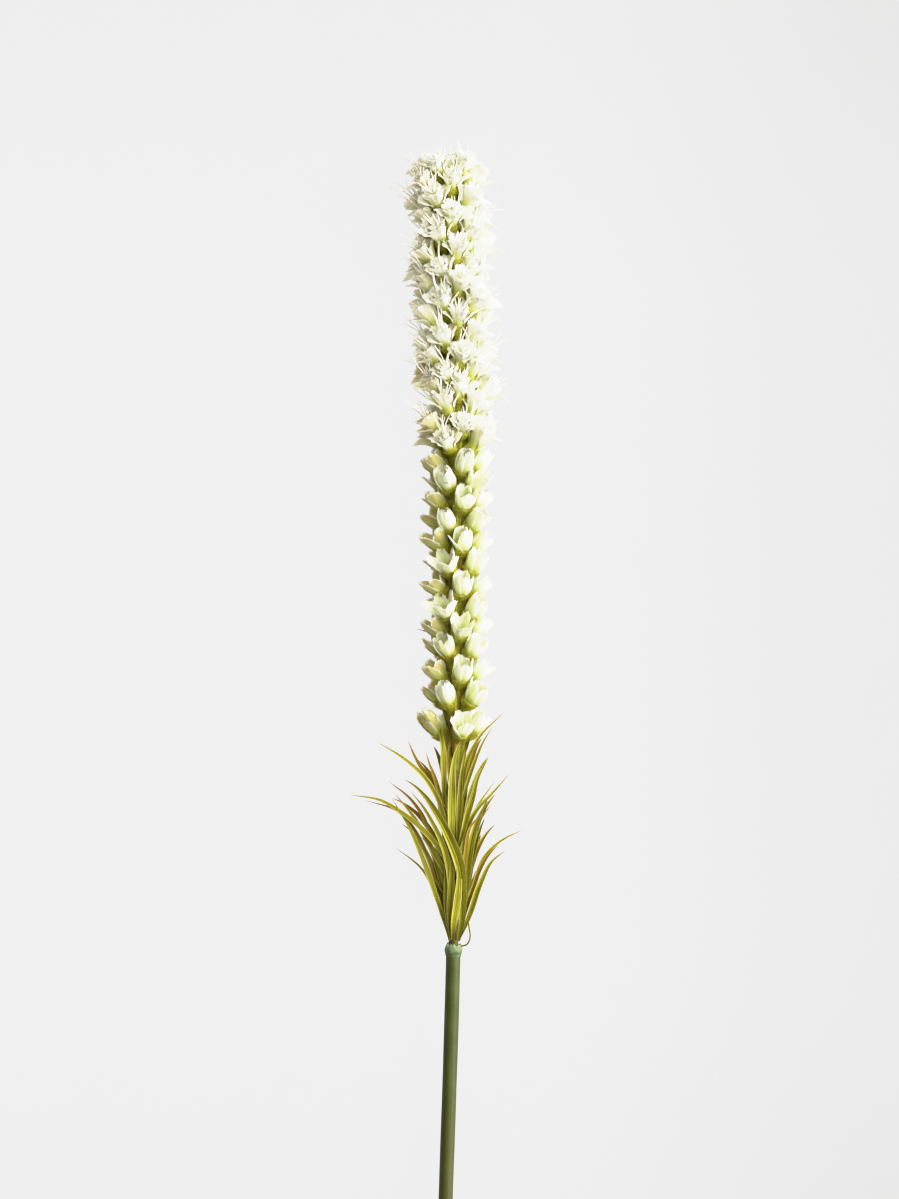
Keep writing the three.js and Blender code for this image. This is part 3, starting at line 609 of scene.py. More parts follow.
class Paths:
    """Lines that a tree turns into tubes or leaves. A mark is for a whole line or for each of its points."""

    def __init__(self):
        self.points, self.edges, self.marks = [], [], {}

    def line(self, points, **marks):
        """Adds one line."""
        first = len(self.points)
        self.points.extend(points)
        self.edges.extend((first + i, first + i + 1) for i in range(len(points) - 1))
        for label, value in marks.items():
            value = np.asarray(value, float)
            whole = value if len(value.shape) and len(value) == len(points) else [value] * len(points)
            self.marks.setdefault(label, []).extend(whole)

    def mesh(self):
        return mesh_of("lines", self.points, edges=self.edges, **self.marks)


class Shells:
    """Collects closed shells of quads. Each joins an outer and an inner grid of points at their edges."""

    def __init__(self):
        self.points, self.faces, self.marks = [], [], {"along": [], "across": [], "tone": []}

    def add(self, outer, inner, along, across, tone):
        """Adds one shell."""
        rows, columns = outer.shape[:2]
        count = rows * columns
        first = sum(len(p) for p in self.points)
        ids = first + np.arange(count).reshape(rows, columns)
        quads = np.stack([ids[:-1, :-1], ids[:-1, 1:], ids[1:, 1:], ids[1:, :-1]], -1).reshape(-1, 4)
        loop = [*ids[0], *ids[1:, -1], *ids[-1, -2::-1], *ids[-2:0:-1, 0]]
        rim = [(b, a, a + count, b + count) for a, b in zip(loop, loop[1:] + loop[:1])]
        self.faces.extend([*map(tuple, quads), *map(tuple, quads[:, ::-1] + count), *rim])
        self.points.extend([outer.reshape(-1, 3), inner.reshape(-1, 3)])
        for label, values in (("along", along), ("across", across), ("tone", np.full(along.shape, tone))):
            self.marks[label].extend([values.ravel()] * 2)

    def mesh(self, name):
        marks = {label: np.concatenate(values) for label, values in self.marks.items()}
        return mesh_of(name, np.concatenate(self.points), self.faces, **marks)


def on_curve(controls, t):
    """Points at the shares t of a cubic curve with four control points."""
    a, b, c, d = (np.array(p, float) for p in controls)
    t = t[..., None]
    q = 1 - t
    return q**3 * a + 3 * q * q * t * b + 3 * q * t * t * c + t**3 * d


def add_petal(
    shells, rng, phases, controls, widths, turn, cells, rounding, lobes, teeth, side_teeth, overlap, ruffle,
    curl, thick, sway,
):
    """One petal round the Z axis: a thin shell along a curve, with lobes and torn teeth on its rim.

    The curve's control points are distances along the axis and radii. The ruffles go by the angle and not by
    the petal, so petals that overlap don't cut through each other.
    """
    rows, columns = cells
    u = np.linspace(0, 1, rows + 1)[:, None] * np.ones(columns + 1)
    v = np.linspace(-1, 1, columns + 1) * np.ones((rows + 1, 1))
    notched = np.arange(columns + 1) % 2 == 1  # the columns that end in a notch between two teeth
    cut = teeth * np.where(notched, rng.uniform(0.45, 1, columns + 1), rng.uniform(0, 0.3, columns + 1))
    cut = cut + lobes * np.sin(rng.uniform(1.1, 1.6) * math.pi * v[0] + rng.uniform(0, 3.1)) ** 2
    reach = 1 - rounding * np.abs(v) ** 2.4 - cut * u**2
    spots = on_curve(controls, u * reach)
    distance, radius = spots[..., 0], spots[..., 1]
    half = spread_over(u, widths)
    half = half * (1 + side_teeth * rng.uniform(-1, 1, (rows + 1, 1)) * np.abs(v) ** 6)
    angle = 2 * math.pi * turn + v * half / np.maximum(radius, 2.0) + sway * u**2
    wave = np.sin(WIDE_RUFFLES * angle + phases[0]) + 0.7 * u * np.sin(FINE_RUFFLES * angle + phases[1])
    lift = overlap * v + ruffle * wave * u**2 + curl * v**2 * u**1.5
    radius = radius + lift + 0.22 * rng.uniform(-1, 1, u.shape) * u**4
    outer = np.stack([radius * np.cos(angle), radius * np.sin(angle), distance], -1)
    normal = unit(np.cross(np.gradient(outer, axis=1), np.gradient(outer, axis=0)) + 1e-9)
    edge = np.maximum(np.abs(v), u) > 0.999
    inner = outer - normal * np.where(edge, RIM_THINNESS * thick, thick)[..., None]
    shells.add(outer, inner, u, v, rng.uniform())


def bud_mesh(name, seed, openness, stretch):
    """Five broad pointed petals that overlap in a cup. Openness is given for each petal, from 0, shut."""
    rng = np.random.default_rng(seed)
    shells, phases = Shells(), rng.uniform(0, 6.3, 2)
    for k, wide in enumerate(openness):
        part = min(wide, 1.0)
        long = (mix(17.9, 16.4, part) + rng.uniform(-1.2, 0.8)) * stretch
        # From foot to tip, each number for a shut and for an open bud.
        controls = (
            (4.2, 2.0),
            (6.2, mix(4.8, 4.6, part)),
            (mix(12.9, 11.2, part) * stretch, mix(5.9, 5.5, part)),
            (long, mix(1.1, 8.8, wide) + rng.uniform(-0.5, 0.7)),
        )
        full = rng.uniform(0.92, 1.08)
        turn = k / len(openness) + rng.uniform(-0.03, 0.03)
        add_petal(
            shells, rng, phases, controls, [full * w for w in BUD_WIDTHS], turn, BUD_CELLS, rounding=0.18,
            lobes=0.03, teeth=0.12, side_teeth=0.1, overlap=0.5, ruffle=0.45, curl=mix(-0.35, 0.3, part),
            thick=BUD_CLOTH_THICKNESS, sway=rng.uniform(-0.08, 0.08),
        )
    return shells.mesh(name)


# Rings of fans in an open floret: foot, breadth, cells, tooth depth and ruffle. Then the fans one by one:
# share of a turn, radius of the rim, length, and 1 where the fan stands outside its neighbours.
FRONT_RINGS = (
    (2.0, 6.6, (7, 18), 0.09, 0.85, (
        (-0.1, 6.3, 14.4, 0.5), (0.1, 5.2, 14.6, 0), (0.3, 9.6, 13.6, 1), (0.5, 8, 15.2, 0),
        (0.7, 9.2, 13.4, 1))),
    (1.3, 4.5, (7, 14), 0.1, 0.6, (
        (0, 2.6, 16, 0), (0.2, 4.6, 15.6, 1), (0.4, 4.4, 16.4, 0), (0.6, 6, 15.8, 1),
        (0.8, 4.8, 15.4, 0.5))),
    (0.6, 1.6, (6, 4), 0.12, 0.2, (
        (0.05, 1.0, 17.2, 0), (0.3, 2.4, 16.4, 0), (0.55, 2.0, 17.8, 0), (0.8, 2.8, 15.4, 0))),
)
ROUND_RINGS = (
    (2.0, 6.3, (7, 16), 0.09, 0.8, (
        (0, 8.2, 13.8, 0), (0.2, 9.6, 13.2, 1), (0.4, 8.2, 13.6, 0), (0.6, 9.8, 13.2, 1),
        (0.8, 9, 13.6, 0.5))),
    (1.3, 4.5, (7, 12), 0.1, 0.6, (
        (0.1, 5, 14.8, 0), (0.3, 6.2, 14.6, 1), (0.5, 5.2, 15, 0), (0.7, 6.2, 14.6, 1),
        (0.9, 5.6, 15, 0.5))),
    (0.6, 1.6, (6, 4), 0.12, 0.2, (
        (0.05, 1.2, 16.6, 0), (0.3, 2.6, 15.2, 0), (0.55, 1.8, 17.2, 0), (0.8, 2.8, 14.6, 0))),
)


def open_mesh(name, seed, rings):
    """Two rings of broad torn fans round a few narrow upright strips, leaning to one side as a whole."""
    rng = np.random.default_rng(seed)
    shells, phases = Shells(), rng.uniform(0, 6.3, 2)
    lean, towards = rng.uniform(0, 1.3), rng.uniform(0, 6.3)
    for foot, breadth, cells, teeth, ruffle, fans in rings:
        for turn, rim, long, level in fans:
            rim = max(0.6, rim + rng.uniform(-0.4, 0.4) + lean * math.cos(2 * math.pi * turn - towards))
            long, foot_here = long + rng.uniform(-1.2, 1.0), foot + 0.45 * level
            belly = mix(foot_here, rim, 0.42) + 0.1
            controls = ((4.6, foot_here), (8.4, foot_here + 0.8), (mix(8.4, long, 0.66), belly), (long, rim))
            full = breadth * rng.uniform(0.88, 1.12)
            turn = turn + rng.uniform(-0.03, 0.03)
            add_petal(
                shells, rng, phases, controls, [full * w for w in FAN_WIDTHS], turn, cells, rounding=0.3,
                lobes=0.04, teeth=teeth, side_teeth=0.05, overlap=0.0, ruffle=ruffle,
                curl=mix(-0.9, 0.3, level), thick=FAN_CLOTH_THICKNESS, sway=rng.uniform(-0.12, 0.12),
            )
    return shells.mesh(name)


def sleeve(name, rings, sides, edge=None, **marks):
    """A closed shell round the centre line from rings of height and radius, the last joined to the first."""
    turns = np.arange(sides) * 2 * math.pi / sides
    points, faces, count = [], [], len(rings)
    for i, (height, radius) in enumerate(rings):
        radii, rises = np.full(sides, float(radius)), np.zeros(sides)
        if edge:
            radii, rises = edge(i, radii, turns)
        up, right, front = axes_at(height)
        for turn, r, rise in zip(turns, radii, rises):
            points.append(centre(height) + up * rise + r * (right * math.cos(turn) - front * math.sin(turn)))
        here, there = i * sides, (i + 1) % count * sides
        for j in range(sides):
            k = (j + 1) % sides
            faces.append((here + j, here + k, there + k, there + j))
    spread = {label: np.repeat(np.array(values, float), sides) for label, values in marks.items()}
    return mesh_of(name, points, faces, **spread)


# Trees of geometry

def new_tree(name, **inputs):
    """A tree of geometry with named inputs. Returns it and its input sockets."""
    group = bpy.data.node_groups.new(name, "GeometryNodeTree")
    for label, value in {"Geometry": "Geometry", "Finish": "Material", **inputs}.items():
        kind = {int: "Int", float: "Float"}.get(type(value), value)
        socket = group.interface.new_socket(label, in_out="INPUT", socket_type=f"NodeSocket{kind}")
        if kind != value:
            socket.default_value = value
    group.interface.new_socket("Geometry", in_out="OUTPUT", socket_type="NodeSocketGeometry")
    tree = Tree(group)
    return tree, tree.add("NodeGroupInput").other


def close_tree(tree, shape, ask):
    """Ends a tree in Realize Instances and Set Material."""
    shape = tree.add("GeometryNodeRealizeInstances", sockets={0: shape})
    shape = tree.add("GeometryNodeSetMaterial", sockets={0: shape, "Material": ask("Finish")})
    tree.add("NodeGroupOutput", sockets={0: shape})
    return tree.tree


def named(tree, label, kind="FLOAT"):
    """A mark of the source mesh."""
    return tree.add("GeometryNodeInputNamedAttribute", {"data_type": kind}, {"Name": label})


def store(tree, shape, label, value):
    """A mark put on each point of a shape."""
    sockets = {"Geometry": shape, "Name": label, "Value": value}
    return tree.add("GeometryNodeStoreNamedAttribute", {"data_type": "FLOAT", "domain": "POINT"}, sockets)


def smooth_line(tree, ask):
    """The source's lines as smooth curves with a mark for the share of their length."""
    line = tree.add("GeometryNodeMeshToCurve", sockets={0: ask("Geometry")})
    line = tree.add("GeometryNodeCurveSplineType", {"spline_type": "CATMULL_ROM"}, {0: line})
    line = tree.add("GeometryNodeResampleCurve", {"mode": "COUNT"}, {0: line, "Count": ask("Steps")})
    return store(tree, line, "along", tree.add("GeometryNodeSplineParameter"))


def swept(tree, ask, line, section):
    """Ends a tree in a section drawn along a line, as large as the mark girth says."""
    sockets = {"Curve": line, "Profile Curve": section, "Scale": named(tree, "girth"), "Fill Caps": True}
    return close_tree(tree, tree.add("GeometryNodeCurveToMesh", sockets=sockets), ask)


def tube_tree():
    """Round tubes along lines. The mark girth is their radius."""
    tree, ask = new_tree("tubes along lines", Sides=8, Steps=12)
    sockets = {"Resolution": ask("Sides"), "Radius": 1.0}
    ring = tree.add("GeometryNodeCurvePrimitiveCircle", {"mode": "RADIUS"}, sockets)
    return swept(tree, ask, smooth_line(tree, ask), ring)


def leaf_tree():
    """Channelled blades along lines. The mark girth is half their width, and breadth points across them."""
    tree, ask = new_tree("leaves along lines", Section="Object", Steps=22)
    sockets = {"Curve": smooth_line(tree, ask), "Normal": named(tree, "breadth", "FLOAT_VECTOR")}
    line = tree.add("GeometryNodeSetCurveNormal", {"mode": "FREE"}, sockets)
    section = tree.add("GeometryNodeObjectInfo", sockets={"Object": ask("Section")}, out="Geometry")
    return swept(tree, ask, line, tree.add("GeometryNodeMeshToCurve", sockets={0: section}))


def hair_tree():
    """The source surface with fibres on it, where the mark hairy says, leaning as the mark lean says."""
    tree, ask = new_tree("fibres on a surface", Density=2.0, Length=1.8, Thickness=0.09, Spread=0.5, Seed=1)
    surface, seed = ask("Geometry"), ask("Seed")
    sockets = {"Mesh": surface, "Density": named(tree, "hairy") * ask("Density"), "Seed": seed}
    roots = tree.add("GeometryNodeDistributePointsOnFaces", {"distribute_method": "RANDOM"}, sockets)
    sockets = {0: (-FIBRE_STRAY,) * 3, 1: (FIBRE_STRAY,) * 3, "Seed": seed}
    stray = tree.add("FunctionNodeRandomValue", {"data_type": "FLOAT_VECTOR"}, sockets)
    outwards = tree.vector_math("SCALE", {0: roots.other("Normal"), "Scale": ask("Spread")})
    lean = tree.vector_math("ADD", {0: named(tree, "lean", "FLOAT_VECTOR"), 1: outwards})
    lean = tree.vector_math("ADD", {0: lean, 1: stray})
    turn = tree.add("FunctionNodeAlignRotationToVector", {"axis": "Z"}, {"Vector": lean})
    sockets = {2: FIBRE_LENGTHS[0], 3: FIBRE_LENGTHS[1], "Seed": seed}
    length = tree.add("FunctionNodeRandomValue", {"data_type": "FLOAT"}, sockets, out=1) * ask("Length")
    size = tree.vector(ask("Thickness"), ask("Thickness"), length)
    cone = {"Vertices": 3, "Side Segments": 1, "Radius Top": 0.15, "Radius Bottom": 1.0, "Depth": 1.0}
    fibre = tree.add("GeometryNodeMeshCone", {"fill_type": "NGON"}, cone)
    fibre = store(tree, fibre, "tip", tree.part("Z", tree.add("GeometryNodeInputPosition")))
    sockets = {"Points": roots, "Instance": fibre, "Rotation": turn, "Scale": size}
    fibres = tree.add("GeometryNodeInstanceOnPoints", sockets=sockets)
    both = tree.add("GeometryNodeJoinGeometry", sockets={0: surface})
    tree.tree.links.new(fibres.socket, both.socket.node.inputs[0])
    return close_tree(tree, both, ask)


def floret_tree():
    """Petals set on points: which kind, how large, and how turned is marked on each point."""
    tree, ask = new_tree("florets on the stalk", Kinds="Collection")
    sockets = {"Collection": ask("Kinds"), "Separate Children": True, "Reset Children": True}
    kinds = tree.add("GeometryNodeCollectionInfo", sockets=sockets)
    axes = {0: named(tree, "axis", "FLOAT_VECTOR"), 1: named(tree, "side", "FLOAT_VECTOR")}
    turn = tree.add("FunctionNodeAxesToRotation", {"primary_axis": "Z", "secondary_axis": "X"}, axes)
    sockets = {
        "Points": ask("Geometry"), "Instance": kinds, "Pick Instance": True, "Rotation": turn,
        "Instance Index": named(tree, "kind", "INT"), "Scale": named(tree, "size"),
    }
    return close_tree(tree, tree.add("GeometryNodeInstanceOnPoints", sockets=sockets), ask)


def grown(tree, source, **inputs):
    """The plain mesh that a tree makes of a source mesh."""
    maker = in_scene("maker", source)
    modifier = maker.modifiers.new("shape", "NODES")
    modifier.node_group = tree
    for item in tree.interface.items_tree:
        if item.in_out == "INPUT" and item.name in inputs:
            modifier[item.identifier] = inputs[item.name]
    graph = bpy.context.evaluated_depsgraph_get()
    made = maker.evaluated_get(graph)
    mesh = bpy.data.meshes.new_from_object(made, preserve_all_data_layers=True, depsgraph=graph)
    maker.modifiers.remove(modifier)
    bpy.data.objects.remove(maker)
    bpy.data.meshes.remove(source)
    return mesh


KEPT_MARKS = ("along", "across", "tone", "shade", "tip", "torn")  # the ones that finishes read


def set_piece(name, mesh, nodes, soft=True, crease=50):
    """Moves a mesh into the CAD frame as a piece that stands for CAD nodes. Soft ones flatten on the table.

    An edge sharper than the crease stays sharp.
    """
    points = np.empty(len(mesh.vertices) * 3)
    mesh.vertices.foreach_get("co", points)
    points = points.reshape(-1, 3)
    if soft:
        z = points[:, 2]
        points[:, 2] = 0.5 * (z + np.sqrt(z * z + TABLE_SOFTNESS**2))
    mesh.vertices.foreach_set("co", ((points - BOX_MIDDLE) * MM).ravel())
    for label in [a.name for a in mesh.attributes if not a.is_internal and not a.is_required]:
        if label not in KEPT_MARKS and mesh.attributes[label].domain == "POINT":
            mesh.attributes.remove(mesh.attributes[label])
    mesh.shade_smooth()
    mesh.set_sharp_from_angle(angle=math.radians(crease))
    mesh.update()
    mesh.name = name
    piece = in_scene(name, mesh)
    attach(piece, BODY)
    if nodes:
        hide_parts(*nodes)


def leaf_section():
    """A leaf's section: a shallow channel with a rib below, from -1 to 1 across."""
    x = np.array([-1, -0.7, -0.35, 0, 0.35, 0.7, 1])
    top = 0.34 * np.abs(x) ** 1.4 - 0.12
    below = top - np.array([0.05, 0.14, 0.17, 0.27, 0.17, 0.14, 0.05])
    loop = [(a, b, 0) for a, b in [*zip(x, top), *zip(x[::-1], below[::-1])]]
    edges = [(i, (i + 1) % len(loop)) for i in range(len(loop))]
    mesh = mesh_of("leaf section", loop, edges=edges, across=[float(p[0]) for p in loop])
    return bpy.data.objects.new("leaf section", mesh)


TUBES, LEAVES, FIBRES, PLACED = tube_tree(), leaf_tree(), hair_tree(), floret_tree()
LEAF_SECTION = leaf_section()


# Stem, wire, collar and stalk

def make_stem():
    """The coated stem with the wire in it, which shows at the cut end."""
    heights = np.linspace(STEM_BOTTOM, STEM_TOP, 60)
    skin = [(h, STEM_RADIUS - 0.15 * h / STEM_BOTTOM + 0.03 * math.sin(h / 9)) for h in heights]
    skin = [(STEM_BOTTOM, 3.35), (STEM_BOTTOM + 0.15, 3.5)] + skin[1:]  # with a small bevel at the cut
    bore = [(STEM_TOP, BORE_RADIUS), (STEM_BOTTOM, BORE_RADIUS)]
    mesh = sleeve("stem", skin + bore, 40)
    mesh.materials.append(STEM_GREEN)
    set_piece("stem_coating", mesh, ["stem"], soft=False, crease=35)
    wire = Paths()
    wire.line([centre(h) for h in np.linspace(STEM_BOTTOM, WIRE_TOP, 12)], girth=WIRE_RADIUS)
    mesh = grown(TUBES, wire.mesh(), Sides=16, Steps=40, Finish=WIRE_STEEL)
    set_piece("stem_core", mesh, ["stem_wire"], soft=False, crease=35)


def make_collar():
    """A short sleeve that bulges over the stem's end, with a torn upper rim."""
    tears = np.random.default_rng(5).uniform(-0.75, 0.75, COLLAR_SIDES)
    heights, sizes, torn = zip(*COLLAR_PROFILE)

    def edge(i, radii, turns):
        worn = torn[i]
        lumps = 0.1 * np.sin(3 * turns + 1) + 0.07 * np.sin(5 * turns + 2.2 + heights[i])
        rises = worn * tears * (0.9 if i >= COLLAR_RIM else 0.25)
        return radii + lumps * (0.4 + worn) + 0.14 * worn * tears, rises

    mesh = sleeve("collar", list(zip(heights, sizes)), COLLAR_SIDES, edge, torn=torn)
    mesh.materials.append(COLLAR_GREEN)
    set_piece("collar_sleeve", mesh, ["collar"], soft=False, crease=45)


def make_stalk():
    """The stalk of the spike, tapered and with short fibres where the buds are."""
    heights = np.linspace(-5.5, STALK_TOP, 60)
    line = Paths()
    line.line(
        [centre(h) for h in heights], girth=[mix(*STALK_RADII, max(h, 0) / STALK_TOP) for h in heights],
        hairy=[1.0 if FUZZY_STALK[0] < h < FUZZY_STALK[1] else 0.25 for h in heights],
        lean=axes_at(120)[0], tone=0.5,
    )
    bare = grown(TUBES, line.mesh(), Sides=20, Steps=150, Finish=STALK_OLIVE)
    fibres = {"Density": 1.6, "Length": 1.5, "Thickness": 0.09, "Spread": 0.9, "Seed": 3}
    mesh = grown(FIBRES, bare, Finish=STALK_OLIVE, **fibres)
    set_piece("stalk_fuzz", mesh, ["stalk"], soft=False)


# Leaves

def rotated(v, axis, angle):
    """Vectors turned about axes that they are square to."""
    return v * np.cos(angle)[:, None] + np.cross(axis, v) * np.sin(angle)[:, None]


def leaf_line(paths, height, azimuth, rise, reach, width, number):
    """A leaf's middle line, which climbs the stalk and arches away, turning on its own length."""
    t = np.linspace(0, 1, 15)
    climb = rise * np.sin(LEAF_ARCH * math.pi * t / 2) / math.sin(LEAF_ARCH * math.pi / 2)
    away = LEAF_ROOT + LEAF_LEAN * climb + (reach - LEAF_ROOT - LEAF_LEAN * rise) * t**2.6
    away = away - 1.6 * np.clip(1 - t / 0.1, 0, 1)
    outs, sides = np.array([outward(height + c, azimuth) for c in climb]).transpose(1, 0, 2)
    points = np.array([centre(height + c) for c in climb]) + outs * away[:, None]
    forward = unit(np.gradient(points, axis=0))
    level = unit(sides - forward * np.sum(sides * forward, 1)[:, None])
    twist = math.radians(LEAF_TWIST) * math.sin(math.radians(azimuth)) * np.clip(t / 0.45, 0, 1)
    twist = twist + math.radians(STRAY_TWIST) * jitter(number * 3.7) * t
    paths.line(
        points, girth=0.5 * width * spread_over(t, LEAF_WIDTHS), breadth=rotated(level, forward, twist),
        tone=0.5 + 0.5 * jitter(number * 1.3),
    )


def front_leaf_line(paths, width, tone, turn, spots):
    """A leaf's middle line through given spots. It faces away from the table, turned a little aside."""
    t = np.linspace(0, 1, 17)
    points = smooth_through(beside_centre(spots), t)
    forward = unit(np.gradient(points, axis=0))
    across = unit(np.cross(forward, (0.0, 0.0, 1.0)))
    across = rotated(across, forward, np.radians(turn) * np.clip(t / 0.3, 0, 1))
    paths.line(points, girth=0.5 * width * spread_over(t, LEAF_WIDTHS), breadth=-across, tone=tone)


def smooth_through(marks, t):
    """Points at the shares t of a rounded line through marks."""
    legs = np.linalg.norm(np.diff(marks, axis=0), axis=1)
    at = np.concatenate([[0], np.cumsum(legs)]) / np.sum(legs)
    slopes = np.gradient(marks, at, axis=0)
    i = np.clip(np.searchsorted(at, t, side="right") - 1, 0, len(at) - 2)
    span = (at[i + 1] - at[i])[:, None]
    u = (t - at[i])[:, None] / span
    w = 1 - u
    ends = w * w * (1 + 2 * u) * marks[i] + u * u * (3 - 2 * u) * marks[i + 1]
    return ends + span * u * w * (w * slopes[i] - u * slopes[i + 1])


def set_leaves(name, paths, steps, finish, nodes=()):
    """Leaves or bracts along lines, as a piece."""
    mesh = grown(LEAVES, paths.mesh(), Section=LEAF_SECTION, Steps=steps, Finish=finish)
    set_piece(name, mesh, nodes)


def make_leaves():
    """Five whorls of leaves: those in front laid out as listed, those at the back by rule."""
    for n, ((height, back), front) in enumerate(zip(BACK_LEAVES, FRONT_LEAVES), 1):
        paths = Paths()
        for k, (azimuth, rise, reach, width) in enumerate(back):
            leaf_line(paths, height, azimuth, rise, reach, width * LEAF_FULLNESS, 10 * n + k)
        for leaf in front:
            front_leaf_line(paths, *leaf)
        set_leaves(f"leaf_whorl_{n}_leaves", paths, 26, LEAF_GREEN, [f"leaf_whorl_{n}"])


def make_bracts():
    """Thin brown bracts between the buds, and the wiry leaf stems above the collar."""
    bracts, stems = Paths(), Paths()
    for k, bract in enumerate(BRACTS):
        leaf_line(bracts, *bract, 300 + k)
    set_leaves("stalk_bracts", bracts, 14, BRACT_BROWN)
    for radius, spots in WIRY_STEMS:
        stems.line(beside_centre(spots), girth=radius, tone=0.4)
    mesh = grown(TUBES, stems.mesh(), Sides=8, Steps=24, Finish=LEAF_GREEN)
    set_piece("leaf_stems", mesh, [])


# Florets

class Floret:
    """Where one floret stands: its foot, its axis and the two directions across it."""

    def __init__(self, hub, azimuth, rise, key, loose=1.0):
        turn, lift = FLORET_SWAY[0] * loose * jitter(key), FLORET_SWAY[1] * loose * jitter(key + 0.3)
        self.size = 1 + 0.05 * loose * jitter(key + 0.5)
        self.spin = 0.5 + 0.5 * jitter(key + 0.7)
        self.key, self.hub = key, hub
        self.up = axes_at(hub)[0]
        self.out, self.side = outward(hub, azimuth + turn)
        # Painted shadow: florets at the left, away from the key light on the right, get more of the warm
        # tint; the jittered part is random tone.
        self.shade = 0.3 + 0.3 * jitter(key + 0.17) + 1.2 * max(0, -self.out[0] - 0.5)  # warmer at the left
        angle = math.radians(rise + lift)
        self.axis = self.out * math.cos(angle) + self.up * math.sin(angle)
        self.top = self.up * math.cos(angle) - self.out * math.sin(angle)
        self.foot = centre(hub) + self.out * HUB_TO_FOOT[0] + self.up * HUB_TO_FOOT[1]

    def at(self, s, x=0.0, y=0.0):
        """A point at a distance along the axis, and beside it."""
        return self.foot + self.axis * s + self.side * x + self.top * y


def azimuth_of(whorl, j):
    """Where floret j of a whorl stands."""
    return FIRST_AZIMUTH[whorl % 2] + j * 360 / FLORETS


def whorl_of(whorl, height, middle, usual_rise, rise, tilt=0, loose=1.0):
    """The florets of a whorl, with its hub placed for the usual rise. Those on top are tilted further up."""
    hub = height - middle * math.sin(math.radians(usual_rise)) - HUB_TO_FOOT[1]
    florets = []
    for j in range(FLORETS):
        azimuth = azimuth_of(whorl, j)
        more = tilt * max(0, math.cos(math.radians(azimuth)))
        florets.append(Floret(hub, azimuth, rise + more, whorl * 10 + j, loose))
    return florets


def kinds_of(label, meshes):
    """Meshes as a collection in a fixed order."""
    kinds = bpy.data.collections.new(label)
    for i, mesh in enumerate(meshes):
        kinds.objects.link(bpy.data.objects.new(f"{label} {i:02d}", mesh))
    return kinds


def set_florets(florets, kinds, finish, node, shrink=1.0):
    """The petals of one whorl as a piece. Each floret has its kind, and a number for its warm tint: partly
    random, partly painted shadow at the left.
    """
    turns = [2 * math.pi * f.spin for f in florets]
    points = mesh_of(
        "places", [f.foot for f in florets], axis=[f.axis for f in florets],
        side=[f.side * math.cos(turn) + f.top * math.sin(turn) for f, turn in zip(florets, turns)],
        size=[f.size * shrink for f in florets], kind=np.array([f.kind for f in florets], np.int32),
        shade=[f.shade for f in florets],
    )
    set_piece(f"{node}_petals", grown(PLACED, points, Kinds=kinds, Finish=finish), [node])


def calyx_line(paths, floret, rim, reach, size=1.0):
    """A pedicel that leaves the stalk below the hub and widens to the cup that holds the petals."""
    f = floret
    # Each station: its point, its radius and how hairy it is.
    stations = [
        (centre(f.hub - reach) + f.out * 1.6, 0.85, 0),
        (centre(f.hub - reach * 0.5) + f.out * 2.8, 1.1, 0.15),
        (centre(f.hub) + f.out * 3.7, 1.2, 0.35),
        (f.at(-1.2), 1.3, 0.6),
        (f.at(0.5), 1.8 * size, 0.9),
        (f.at(2.0), 2.7 * size, 1),
        (f.at(3.6), 3.5 * size, 1),
        (f.at(5.2), rim * size, 1),
        (f.at(5.7), rim * 0.75 * size, 0.3),
    ]
    points, girth, hairy = (np.array(x) for x in zip(*stations))
    paths.line(points, girth=girth, hairy=hairy, lean=f.axis, tone=0.5 + 0.5 * jitter(f.key + 0.41))


def thread_lines(paths, floret, rng, long):
    """Long threads from the throat, each forked in two arms that curve apart."""
    forks = int(rng.integers(2, 4)) + int(floret.out[0] < -0.5)
    for fork in range(forks):
        turn = 2 * math.pi * (fork + rng.uniform(-0.3, 0.3)) / forks
        x, y = math.cos(turn), math.sin(turn)
        lean, length = rng.uniform(1.0, 6.5), long * rng.uniform(0.8, 1.15)
        sway, phase = rng.uniform(-3.0, 3.0), rng.uniform(0, 6.3)
        for sign in (-1, 1):
            t = np.linspace(0, 1, 9)
            opened = np.clip((t - 0.35) / 0.65, 0, 1)
            away = 0.5 + lean * t**1.6 + 0.9 * np.sin(5 * t + 2 * phase) * t
            apart = sign * (0.16 + rng.uniform(0.8, 2.4) * opened**1.3) + sway * t**2
            apart = apart + 1.2 * np.sin(5.5 * t + phase) * t
            up = THROAT + length * t + rng.uniform(-2.5, 0.2) * t**2.5
            points = [floret.at(s, x * a - y * b, y * a + x * b) for s, a, b in zip(up, away, apart)]
            paths.line(points, girth=0.32 - 0.08 * t - 0.12 * t**8, tone=rng.uniform())


def set_calyces(name, halves, names, fibres, **tube):
    """The hairy calyces of the lower and the upper whorls, as two pieces."""
    middle = (len(names) + 1) // 2
    for part, calyces, nodes in zip(("lower", "upper"), halves, (names[:middle], names[middle:])):
        bare = grown(TUBES, calyces.mesh(), Finish=CALYX_GREEN, **tube)
        mesh = grown(FIBRES, bare, Thickness=0.1, Finish=CALYX_GREEN, **fibres)
        set_piece(f"{part}_{name}_calyces", mesh, nodes)


